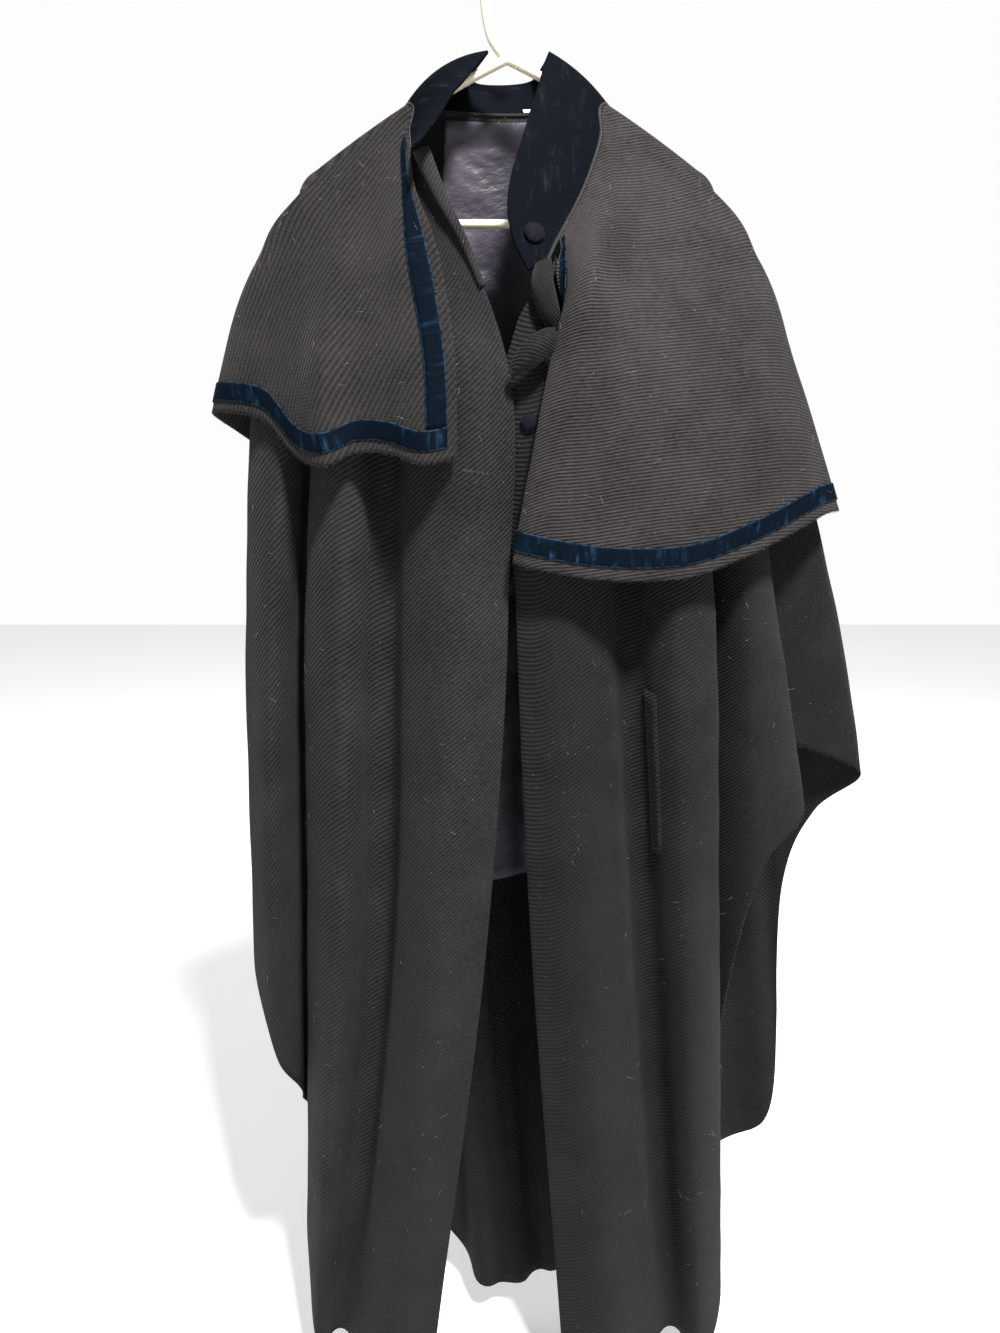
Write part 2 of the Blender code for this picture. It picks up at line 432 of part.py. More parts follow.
class Ring:
    """The cloth from the right front edge round the back to the left front edge."""

    def __init__(self, lines, layer, edge, start_offset, growth):
        self.lines = lines
        self.layer = layer
        self.edge = edge
        self.growth = growth
        self.start = math.asin(start_offset / layer)
        self.names = [line.name for line in lines]
        self.trails = np.array([line.trail for line in lines])
        self.hems = np.array([[line.hem_z] for line in lines])

    def index(self, name):
        """Place of a named fold line along the ring."""
        return self.names.index(name)

    def arm_rows(self, station, hand, side):
        """Edge, middle and start of the fall at a distance along an arm."""
        return arm_rows(station, hand, side, self.layer, self.growth, self.start)

    def neck_distance(self, line):
        """Distance along the collar's seam of a line that starts at the neckline or at a ridge."""
        if line.kind == "ridge":
            return SEAM_PLACES[RIDGES[0] if line.hand < 0 else RIDGES[1]]
        return np.interp(line.station, range(len(SEAM_PLACES)), SEAM_PLACES)

    def tops(self, u):
        """The three points where the cloth starts: its cut edge, half way round the arm, and where it leaves it."""
        low = min(int(math.floor(u)), len(self.lines) - 2)
        share = u - low
        first, second = self.lines[low], self.lines[low + 1]
        if "neck" not in (first.kind, second.kind):
            station = first.station * (1 - share) + second.station * share
            side = second.side if first.kind == "tip" else first.side
            return self.arm_rows(station, first.hand, side)
        start, stop = self.neck_distance(first), self.neck_distance(second)
        part = "back" if first.side > 0 else "right" if start < SEAM_PLACES[RIDGES[0]] else "left"
        if part != "back" and "ridge" in (first.kind, second.kind):
            ridge, far = (start, stop) if first.kind == "ridge" else (stop, start)
            away = share if first.kind == "ridge" else 1 - share
            step = SEAM_PLACES[RIDGES[1] + 1:RIDGES[1] + 3] - SEAM_PLACES[RIDGES[1]]
            distance = ridge + np.interp(away, (0.0, 0.25, 0.5, 1.0), (0.0, *step, abs(far - ridge))) * (
                1 if far > ridge else -1)
        else:
            distance = start + (stop - start) * share
        rows = self.edge.rows(part, distance)
        if share in (0.0, 1.0) and (first, second)[int(share)].kind == "ridge":
            line = (first, second)[int(share)]
            rows = self.arm_rows(line.station, line.hand, line.side)
        return rows

    def column(self, u, shares, foot):
        """Points down the cloth at place u: the start, shares of the fall, then the rows of the foot and the hem."""
        places = range(len(self.lines))
        top, middle, leave = self.tops(u)
        trail = smooth(places, self.trails.reshape(len(self.lines), -1), u)[0].reshape(-1, 3)
        hem = smooth(places, self.hems, u)[0][0]
        trail[0] = leave
        trail[1] = upper_point(leave, trail[2])
        heights = np.linspace(leave[2], hem, 60)
        across = smooth(-trail[:, 2], trail[:, :2], -heights)
        fall = np.column_stack([across, heights])
        run = np.concatenate([[0.0], np.cumsum(np.linalg.norm(np.diff(fall, axis=0), axis=1))])
        body = run[-1] - (foot[0] if foot else 0.0)
        wanted = [share * body for share in shares] + [run[-1] - step for step in foot[1:]] + [run[-1]] * bool(foot)
        spots = np.column_stack([np.interp(wanted, run, fall[:, axis]) for axis in range(3)])
        return np.vstack([top, middle, spots])

    def grid(self, places, shares, foot=()):
        """Points and outward normals at the given places, as arrays of columns by rows by xyz."""
        points = np.array([self.column(u, shares, foot) for u in places])
        normals = grid_normals(points)
        for place, u in enumerate(places):
            low = min(int(math.floor(u)), len(self.lines) - 2)
            around = (self.lines[int(u)],) * 2 if u == int(u) else (self.lines[low], self.lines[low + 1])
            if "neck" not in (around[0].kind, around[1].kind):
                share = u - int(u)
                flat = arm_point(around[0].station * (1 - share) + around[1].station * share)[1]
                normals[place, 0] = (around[0].hand * flat[0], 0.0, flat[1])
        return points, normals


def fold_lines(table, layer, edge, growth, trail_of):
    """Lines of a ring, read from its table."""
    lines = []
    for fold in table:
        hand = 1 if fold.breast[0] > 0 else -1
        kind, place = fold.seat
        if kind == "neck":
            distance = np.interp(place, range(len(SEAM_PLACES)), SEAM_PLACES)
            part = "back" if fold.side > 0 else "right" if hand < 0 else "left"
            leave = edge.rows(part, distance)[2]
        else:
            place = {"ridge": EDGE_STATIONS[0], "tip": ARM_TIP, "arm": place}[kind]
            leave = arm_rows(place, hand, fold.side, layer, growth)[2]
        trail, hem = trail_of(fold, leave)
        lines.append(Line(fold.name, fold.side, hand, kind, place, np.array(trail), hem))
    return lines


def upper_point(leave, yoke):
    """Point part of the way down to the yoke. Outward the lines spread soon, and inward they spread late."""
    share = 0.30
    spread = 0.6 if abs(yoke[0]) > abs(leave[0]) else 1.6
    return leave + (yoke - leave) * np.array([share**spread, share, share])


def cloak_trail(fold, leave):
    """Points that one line of the cloak passes through below its start."""
    breast = np.array([*fold.breast, BREAST_Z])
    if fold.yoke is None:
        share = (leave[2] - YOKE_Z) / (leave[2] - BREAST_Z)
        yoke = leave + (breast - leave) * share**1.3
        yoke[2] = YOKE_Z
    else:
        yoke = np.array([*fold.yoke, YOKE_Z][:3])
    rest = [np.array([*place, z]) for place, z in ((fold.hip, HIP_Z), (fold.knee, KNEE_Z), (fold.ankle, ANKLE_Z))]
    trail = [leave, upper_point(leave, yoke), yoke, breast] + rest
    trail.append(trail[-1] + (trail[-1] - trail[-2]) * 0.2)
    return trail, fold.hem


def cape_trail(fold, leave):
    """Points that one line of the cape passes through below its start."""
    yoke = np.array([*fold.yoke, YOKE_Z][:3])
    return [leave, upper_point(leave, yoke), yoke, np.array([*fold.breast, CAPE_BREAST_Z]),
            np.array(fold.hem)], fold.hem[2]


def cloak_ring():
    """The cloak's ring."""
    edge = NeckEdge(BODY_OVER_ARM, BODY_EDGE_OUT, BODY_EDGE_UNDER, CLOAK_NECK)
    lines = fold_lines(CLOAK, BODY_OVER_ARM, edge, BODY_TIP_GROWTH, cloak_trail)
    return Ring(lines, BODY_OVER_ARM, edge, SEAM_GAP / 2, BODY_TIP_GROWTH)


def cape_ring():
    """The cape's ring."""
    edge = NeckEdge(CAPE_OVER_ARM, NECK_EDGE_OUT, 0.0, {})
    lines = fold_lines(CAPE, CAPE_OVER_ARM, edge, CAPE_TIP_GROWTH, cape_trail)
    return Ring(lines, CAPE_OVER_ARM, edge, 0.0, CAPE_TIP_GROWTH)


def grid_normals(points):
    """Outward normals of a grid of columns by rows, from the triangles round each point."""
    near, far = points[:-1], points[1:]
    upper = np.cross(far[:, :-1] - near[:, :-1], far[:, 1:] - near[:, :-1])
    lower = np.cross(far[:, 1:] - near[:, :-1], near[:, 1:] - near[:, :-1])
    sums = {}
    keys = np.round(points * 1e5).astype(int)
    columns, rows = points.shape[:2]
    for column in range(columns - 1):
        for row in range(rows - 1):
            first, second = upper[column, row], lower[column, row]
            for away, down, part in ((0, 0, first + second), (1, 0, first), (1, 1, first + second), (0, 1, second)):
                key = tuple(keys[column + away, row + down])
                sums[key] = sums.get(key, 0.0) + part
    normals = np.array([[sums[tuple(key)] for key in column] for column in keys])
    return normals / np.maximum(np.linalg.norm(normals, axis=2, keepdims=True), 1e-12)


def wall(name, points, normals, thickness, finish, flip=False):
    """Closed cloth wall of even thickness about a grid of points. Points that coincide are joined.

    Flip chooses the other diagonal of the cells.
    """
    columns, rows = points.shape[:2]
    order = {}
    index = []
    middle = []
    for point, normal in zip(points.reshape(-1, 3), normals.reshape(-1, 3)):
        key = tuple(int(round(value * 1e5)) for value in point)
        if key not in order:
            order[key] = len(middle)
            middle.append((point, normal))
        index.append(order[key])
    count = len(middle)
    inner = [tuple(point - normal * thickness / 2) for point, normal in middle]
    outer = [tuple(point + normal * thickness / 2) for point, normal in middle]
    faces = []
    edges = {}
    for column in range(columns - 1):
        for row in range(rows - 1):
            corner = column * rows + row
            near, far = (index[corner], index[corner + 1]), (index[corner + rows], index[corner + rows + 1])
            halves = ((near[0], far[0], far[1]), (near[0], far[1], near[1]))
            if flip:
                halves = ((near[0], far[0], near[1]), (far[0], far[1], near[1]))
            for face in halves:
                if len(set(face)) < 3:
                    continue
                faces.append([spot + count for spot in face][::-1])
                faces.append(list(face))
                for start, stop in zip(face, face[1:] + face[:1]):
                    edges[(start, stop)] = True
    for start, stop in edges:
        if (stop, start) not in edges:
            faces.append([stop, start, start + count, stop + count])
    mesh = bpy.data.meshes.new(name)
    mesh.from_pydata(inner + outer, [], faces)
    shape = bmesh.new()
    shape.from_mesh(mesh)
    bmesh.ops.recalc_face_normals(shape, faces=shape.faces)
    shape.to_mesh(mesh)
    shape.free()
    return add_object(name, mesh, finish)


def pull_back(points, first=None, last=None):
    """Move the first and last columns of a grid off their seams."""
    points = points.copy()
    if first:
        points[0] += np.array(first)
    if last:
        points[-1] += np.array(last)
    return points


def even(start, stop, steps):
    """Places from start to stop, with the given steps between whole numbers."""
    return [start + place / steps for place in range(int(round((stop - start) * steps)) + 1)]


def span_places(ring, start, stop, steps):
    """Places along a ring, with more steps beside the ridges and the tips of the arms."""
    places = [float(start)]
    for low in range(start, stop):
        first, second = ring.lines[low], ring.lines[low + 1]
        bend = {first.kind, second.kind} == {"neck", "ridge"} or "tip" in (first.kind, second.kind)
        places += even(low, low + 1, 4 if bend else steps)[1:]
    return places


def tube(name, path, radius, sides, closed):
    """Round tube along a path, with flat ends unless it is closed."""
    path = np.asarray(path, float)
    count = len(path)
    shape = bmesh.new()
    rings = []
    for place in range(count):
        before = path[(place - 1) % count] if closed or place else path[place]
        after = path[(place + 1) % count] if closed or place < count - 1 else path[place]
        heading = after - before
        heading /= np.linalg.norm(heading)
        side = np.array([0.0, 1.0, 0.0])
        up = np.cross(heading, side)
        ring = []
        for corner in range(sides):
            angle = 2 * math.pi * corner / sides
            spot = path[place] + radius * (math.cos(angle) * side + math.sin(angle) * up)
            ring.append(shape.verts.new(tuple(spot)))
        rings.append(ring)
    last = count if closed else count - 1
    for place in range(last):
        here, there = rings[place], rings[(place + 1) % count]
        for corner in range(sides):
            follow = (corner + 1) % sides
            shape.faces.new((here[corner], here[follow], there[follow], there[corner]))
    if not closed:
        shape.faces.new(rings[0][::-1])
        shape.faces.new(rings[-1])
    bmesh.ops.recalc_face_normals(shape, faces=shape.faces)
    mesh = bpy.data.meshes.new(name)
    shape.to_mesh(mesh)
    shape.free()
    return mesh


def hanger_frame_path():
    """Middle line of the hanger's closed frame: both arms, their round ends and the lower bar."""
    stations = list(np.linspace(0.0, ARM_STRAIGHT, 8))
    half = [arm_point(station)[0] for station in stations]
    turn = np.linspace(TIP_FALL, math.pi, 9)[1:]
    half += [np.array(TIP_CENTRE) + TIP_RADIUS * np.array([math.sin(a), math.cos(a)]) for a in turn]
    right = [(x, 0.0, z) for x, z in half]
    left = [(-x, 0.0, z) for x, z in half[1:]]
    return right + left[::-1]


def hook_path():
    """Middle line of the hook, from inside the frame's neck up and round to its open end."""
    neck = [(0.0, 0.0, NECK_Z - 0.001), (-0.0075, 0.0, NECK_Z + 0.0075), (-0.0150, 0.0, NECK_Z + 0.0180),
            (-0.0195, 0.0, NECK_Z + 0.0340), (-0.0222, 0.0, NECK_Z + 0.0540)]
    centre_z = -(HOOK_MEAN_RADIUS - TUBE / 2)
    angles = np.radians(np.linspace(184.0, HOOK_END_ANGLE, 15))
    arc = [(HOOK_MEAN_RADIUS * math.cos(a), 0.0, centre_z + HOOK_MEAN_RADIUS * math.sin(a)) for a in angles]
    places = np.vstack([neck, arc])
    lengths = np.concatenate([[0.0], np.cumsum(np.linalg.norm(np.diff(places, axis=0), axis=1))])
    return smooth(lengths, places, np.linspace(0.0, lengths[-1], 22))


def build_hanger():
    """Tube hanger: the hook is united with the frame."""
    frame = add_object("hanger", tube("hanger", hanger_frame_path(), TUBE / 2, TUBE_SIDES, True), "plastic")
    hook = add_object("hook_tool", tube("hook_tool", hook_path(), TUBE / 2, TUBE_SIDES, False), "plastic")
    hook.hide_render = True
    hook.display_type = "WIRE"
    join = frame.modifiers.new("hook", "BOOLEAN")
    join.operation = "UNION"
    join.object = hook
    return frame


def cut(grid, columns, rows):
    """Part of a grid, with its last column and row."""
    return grid[columns[0]:columns[1] + 1, rows[0]:rows[1] + 1]


def lay_on(name, panel, columns, rows, thickness, finish, under=WOOL, outside=True, ends=0.0, flip=False):
    """Piece that lies on part of a panel, on its outer face or its inner one."""
    points, normals = panel
    away = under / 2 + LAY_GAP + thickness / 2
    points = cut(points + normals * (away if outside else -away), columns, rows).copy()
    if ends:
        step = points[:, -2] - points[:, -1]
        points[:, -1] += step / np.linalg.norm(step, axis=1, keepdims=True) * ends
    return wall(name, points, cut(normals, columns, rows), thickness, finish, flip)


def nearest(values, wanted):
    """Index of the value that is closest to the wanted one."""
    return int(np.argmin(np.abs(np.asarray(values) - wanted)))


def build_cloak():
    """Fronts, back, back lining and the left front's welt."""
    ring = cloak_ring()
    side_right, side_left = ring.index("right_side"), ring.index("left_side")
    end = len(ring.lines) - 1
    shares = CLOAK_ROWS
    right_places = span_places(ring, 0, side_right, 4)
    back_places = span_places(ring, side_right, side_left, 3)
    left_places = span_places(ring, side_left, end, 4)
    places = right_places + back_places[1:] + left_places[1:]
    points, normals = ring.grid(places, shares)
    first, second = len(right_places) - 1, len(right_places) + len(back_places) - 2
    panels = {}
    forward, backward = (0.0, -SEAM_GAP / 2, 0.0), (0.0, SEAM_GAP / 2, 0.0)
    for name, start, stop, gaps in (("front_right", 0, first, (None, forward)),
                                    ("back", first, second, (backward, backward)),
                                    ("front_left", second, len(places) - 1, (forward, None))):
        panel = pull_back(points[start:stop + 1], *gaps)
        panels[name] = (panel, normals[start:stop + 1])
        wall(name, *panels[name], WOOL, "wool", flip=name == "front_left")

    columns = (nearest(back_places, ring.index("back_5")), nearest(back_places, ring.index("back_8")))
    lay_on("lining_back", panels["back"], columns, (0, 2 + nearest(shares, LINING_END)), SATIN, "satin",
           outside=False)
    rows = (2 + nearest(shares, WELT_ROWS[0]), 2 + nearest(shares, WELT_ROWS[1]))
    crease = nearest(left_places, ring.index("left_crease"))
    lay_on("welt_left", panels["front_left"], (crease - 2, crease - 1), rows, WOOL, "wool", flip=True)
    return ring


def build_cape():
    """Both halves of the cape and their ribbons."""
    ring = cape_ring()
    centre = ring.index("back_centre")
    end = len(ring.lines) - 1
    right_places = [0.0, 0.28, 0.88] + span_places(ring, 1, centre, 3)[1:]
    left_places = span_places(ring, centre, end - 3, 3) + [end - back for back in FLAP_PLACES]
    places = right_places + left_places[1:]
    points, normals = ring.grid(places, CAPE_ROWS, (TRIM_INSET + TRIM_WIDTH, TRIM_INSET))
    middle = len(right_places) - 1
    last_row = points.shape[1] - 1
    hem_rows = (last_row - 2, last_row - 1)
    front_rows = (1, last_row - 2)

    right = (pull_back(points[:middle + 1], None, (-SEAM_GAP / 2, 0.0, 0.0)), normals[:middle + 1])
    wall("cape_right", *right, WOOL, "wool")
    lay_on("trim_hem_right", right, (1, middle), hem_rows, RIBBON, "ribbon")
    lay_on("trim_front_right", right, (1, 2), front_rows, RIBBON, "ribbon", ends=0.0008)

    left = (pull_back(points[middle:], (SEAM_GAP / 2, 0.0, 0.0), None), normals[middle:])
    wall("cape_left", *left, WOOL, "wool", flip=True)
    last = len(left_places) - 1
    lay_on("trim_hem_left", left, (0, last - 1), hem_rows, RIBBON, "ribbon", flip=True)
    lay_on("trim_front_left", left, (last - 3, last - 1), front_rows, RIBBON, "ribbon", ends=0.0008, flip=True)


def collar_grid(places, shares):
    """Points and outward normals of the collar, from its top edge down to its seam."""
    tops = np.array([row.collar_top for row in NECKLINE])
    swells = np.array([[row.swell] for row in NECKLINE])
    spots = np.interp(places, range(len(SEAM_PLACES)), SEAM_PLACES)
    seam = smooth(SEAM_PLACES, SEAMS, spots)
    top = smooth(SEAM_PLACES, tops, spots)
    swell = smooth(SEAM_PLACES, swells, spots)
    out = np.cross(np.gradient(seam + top, axis=0), seam - top)
    out /= np.linalg.norm(out, axis=1, keepdims=True)
    rows = [top + (seam - top) * share + out * swell * 4 * share * (1 - share) for share in shares]
    points = np.array(rows).transpose(1, 0, 2)
    return points, grid_normals(points)


def build_collar():
    """Stand collar, with its covered button and the loop inside it."""
    steps = 2
    places = even(0, len(NECKLINE) - 1, steps)
    panel = collar_grid(places, COLLAR_ROWS)
    wall("collar", *panel, VELVET_COLLAR, "velvet")
    columns = (nearest(places, LOOP_PLACES[0]), nearest(places, LOOP_PLACES[1]))
    loop_places = list(np.linspace(*LOOP_PLACES, 4))
    loop = collar_grid(loop_places, LOOP_ROWS)
    lay_on("neck_loop", loop, (0, 3), (0, 1), TAPE, "tape", under=VELVET_COLLAR, outside=False)
    return columns


def collar_spot():
    """Point and outward normal of the collar under its button."""
    along = [COLLAR_BUTTON["along"] + step for step in (-0.3, 0.0, 0.3)]
    points, normals = collar_grid(along, [COLLAR_BUTTON["across"] + step for step in (-0.1, 0.0, 0.1)])
    return points[1, 1], normals[1, 1], VELVET_COLLAR


def front_spot(ring):
    """Point and outward normal of the left front under its button."""
    end = len(ring.lines) - 1
    places = [end + FRONT_BUTTON["along"] + step for step in (-0.1, 0.0, 0.1)]
    points, normals = ring.grid(places, np.linspace(0.0, 0.3, 61))
    row = nearest(points[1, :, 2], FRONT_BUTTON["height_m"])
    return points[1, row], normals[1, row], WOOL


def build_button(name, size, spot, sides=16):
    """Covered button, turned from its half profile and set with its back just off the cloth."""
    shape = bmesh.new()
    rings = []
    for reach, rise in BUTTON_PROFILE[1:]:
        ring = []
        for corner in range(sides):
            angle = 2 * math.pi * corner / sides
            ring.append(shape.verts.new((size["radius"] * reach * math.cos(angle),
                                         size["radius"] * reach * math.sin(angle), size["height"] * rise)))
        rings.append(ring)
    crown = shape.verts.new((0.0, 0.0, size["height"] * BUTTON_PROFILE[0][1]))
    for corner in range(sides):
        follow = (corner + 1) % sides
        shape.faces.new((crown, rings[0][corner], rings[0][follow]))
        for upper, lower in zip(rings, rings[1:]):
            shape.faces.new((upper[corner], lower[corner], lower[follow], upper[follow]))
    shape.faces.new(rings[-1][::-1])
    bmesh.ops.recalc_face_normals(shape, faces=shape.faces)
    mesh = bpy.data.meshes.new(name)
    shape.to_mesh(mesh)
    shape.free()
    piece = add_object(name, mesh, "velvet")
    place, facing, under = spot
    piece.location = place + facing * (under / 2 + BUTTON_GAP)
    piece.rotation_mode = "QUATERNION"
    piece.rotation_quaternion = Vector((0.0, 0.0, 1.0)).rotation_difference(Vector(facing).normalized())
    return piece


def main():
    """Build the cloak on its hanger."""
    clear_scene()
    build_hanger()
    ring = build_cloak()
    build_cape()
    build_collar()
    build_button("collar_button", COLLAR_BUTTON, collar_spot())
    build_button("front_button", FRONT_BUTTON, front_spot(ring))


main()
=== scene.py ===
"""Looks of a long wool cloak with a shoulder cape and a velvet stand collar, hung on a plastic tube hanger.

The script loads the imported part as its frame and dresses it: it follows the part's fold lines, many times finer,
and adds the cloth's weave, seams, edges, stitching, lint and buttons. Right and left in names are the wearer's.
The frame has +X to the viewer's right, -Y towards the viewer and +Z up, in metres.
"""

from __future__ import annotations

import logging
import math
import sys
from collections.abc import Callable, Sequence
from dataclasses import dataclass, field
from enum import Enum

import bmesh
import bpy
import numpy as np
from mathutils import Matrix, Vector

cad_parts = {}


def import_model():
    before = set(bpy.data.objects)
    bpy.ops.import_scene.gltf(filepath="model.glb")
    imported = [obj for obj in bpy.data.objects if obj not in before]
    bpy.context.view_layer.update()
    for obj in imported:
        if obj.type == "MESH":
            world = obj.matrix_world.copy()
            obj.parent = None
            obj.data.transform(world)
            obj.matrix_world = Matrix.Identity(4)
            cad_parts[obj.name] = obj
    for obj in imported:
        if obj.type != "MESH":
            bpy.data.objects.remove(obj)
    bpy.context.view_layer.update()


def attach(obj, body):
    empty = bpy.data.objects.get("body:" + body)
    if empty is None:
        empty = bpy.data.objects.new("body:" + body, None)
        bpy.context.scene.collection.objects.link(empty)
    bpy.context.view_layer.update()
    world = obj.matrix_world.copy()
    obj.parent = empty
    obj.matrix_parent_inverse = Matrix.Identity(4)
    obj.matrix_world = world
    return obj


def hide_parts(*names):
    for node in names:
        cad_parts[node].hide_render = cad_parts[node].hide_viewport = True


LOG = logging.getLogger("cloak")
Point = tuple[float, float, float]
Pair = tuple[float, float]

# Thickness of each cloth and the gaps between pieces
WOOL = 0.0020
RIBBON = 0.0012
SATIN = 0.0010
COLLAR_CLOTH = 0.0030
TAPE = 0.0010
SEAM_GAP = 0.0005
LAY_GAP = 0.0004
RIM_BULGE = 0.45

# Hanger
TUBE = 0.0090
HOOK_MEAN_RADIUS = 0.0230
HOOK_END_ANGLE = -50.0
NECK_Z = -0.0970
ARM_SLOPE = 0.45
ARM_DROOP = 0.75
ARM_STRAIGHT = 0.190
BAR_Z = -0.2495

# How far the middle of each cloth layer lies from the middle of the hanger's arm
BODY_OVER_ARM = 0.0063
CAPE_OVER_ARM = 0.0092
BODY_TIP_GROWTH = 0.0010
CAPE_TIP_GROWTH = 0.0026

# The neck edge: stations along the arm by the angle round it, and offsets from the collar's seam
SEAM_STATIONS = {0: 0.0950, 38: 0.0928, 75: 0.0912}
EDGE_STATIONS = {0: 0.0975, 38: 0.0953, 75: 0.0937}
EDGE_SPREAD = {38: 0.0100, 75: 0.0075}
EDGE_SINK = {38: 0.0020, 75: 0.0055}
EDGE_DROP = {-1: 0.011, 1: 0.020}
CAPE_EDGE_OUT = {-1: 0.0029, 1: 0.0022}
BODY_EDGE_OUT = {-1: 0.0060, 1: 0.0060}
BODY_EDGE_UNDER = 0.0040

# Cloth over an arm
TIP_ZONE = 0.023
TIP_DROOP = 0.010
TIP_GROWTH_FROM = 0.185
LEAN_ZONE = 0.030
LEAN_SLIP = (0.0, 0.0135, -0.0190)
SPREAD_ZONE = 0.045
RIDGE_SPREAD = 0.0125

# Heights of the stations in the tables
BREAST_Z = -0.380
HIP_Z = -0.620
KNEE_Z = -0.950
ANKLE_Z = -1.450
YOKE_Z = -0.280
CAPE_BREAST_Z = -0.400

# Ribbon, as distances from the cape's hem, and rows of the sheets as shares of their fall
TRIM_INSET = 0.0115
TRIM_WIDTH = 0.0190
CLOAK_ROWS = (0.0, 0.022, 0.055, 0.10, 0.16, 0.23, 0.31, 0.42, 0.485, 0.55, 0.61, 0.69, 0.77, 0.85, 0.93, 1.0)
CAPE_ROWS = (0.0, 0.10, 0.22, 0.36, 0.52, 0.68, 0.84, 1.0)
WELT_ROWS = (0.42, 0.55)
LINING_END = 0.61
FLAP_PLACES = (2.66, 2.33, 2.14, 2.0, 1.84, 1.62, 1.3, 1.0, 0.45, 0.0)
LOOP_PLACES = (9.45, 9.86)
LOOP_ROWS = (0.90, 0.985)

# Camera, from the photograph: a 26 mm lens on a 36 mm sensor, pitched down
CAMERA_PLACE = (-0.007, -1.05, -0.505)
CAMERA_PITCH = 79.0
CAMERA_LENS = 26.0
FLOOR_Z = -1.56


class Side(Enum):
    """Side of the hanger's arm that a line of cloth hangs on."""

    FRONT = -1
    BACK = 1


class SeatKind(Enum):
    """What a line of cloth starts from."""

    ARM = "arm"
    NECK = "neck"
    RIDGE = "ridge"
    TIP = "tip"


@dataclass(frozen=True)
class Seat:
    """Start of a fold line: a distance along an arm, or a place in the neckline's table."""

    kind: SeatKind
    place: float = 0.0


def arm(station: float) -> Seat:
    """Return the seat on an arm of the hanger, at a distance from its neck."""
    return Seat(SeatKind.ARM, station)


def neck(place: float) -> Seat:
    """Return the seat on the neckline, at a place counted in the rows of its table."""
    return Seat(SeatKind.NECK, place)


RIDGE = Seat(SeatKind.RIDGE)
TIP = Seat(SeatKind.TIP)


@dataclass(frozen=True)
class Neck:
    """Row of the seam where the cape and the collar meet. A seam that is one number is an angle round the arm."""

    name: str
    seam: Point | int
    collar_top: Point
    swell: float
    out: Point | None
    fall: Point | None


@dataclass(frozen=True)
class Fold:
    """Fold line of the cloak: x and y at five heights and the height of its hem."""

    name: str
    side: int
    seat: Seat
    yoke: tuple[float, ...] | None
    breast: Pair
    hip: Pair
    knee: Pair
    ankle: Pair
    hem: float


@dataclass(frozen=True)
class Cape:
    """Fold line of the cape: x and y at two heights and the point of its hem."""

    name: str
    side: int
    seat: Seat
    yoke: tuple[float, ...]
    breast: Pair
    hem: Point


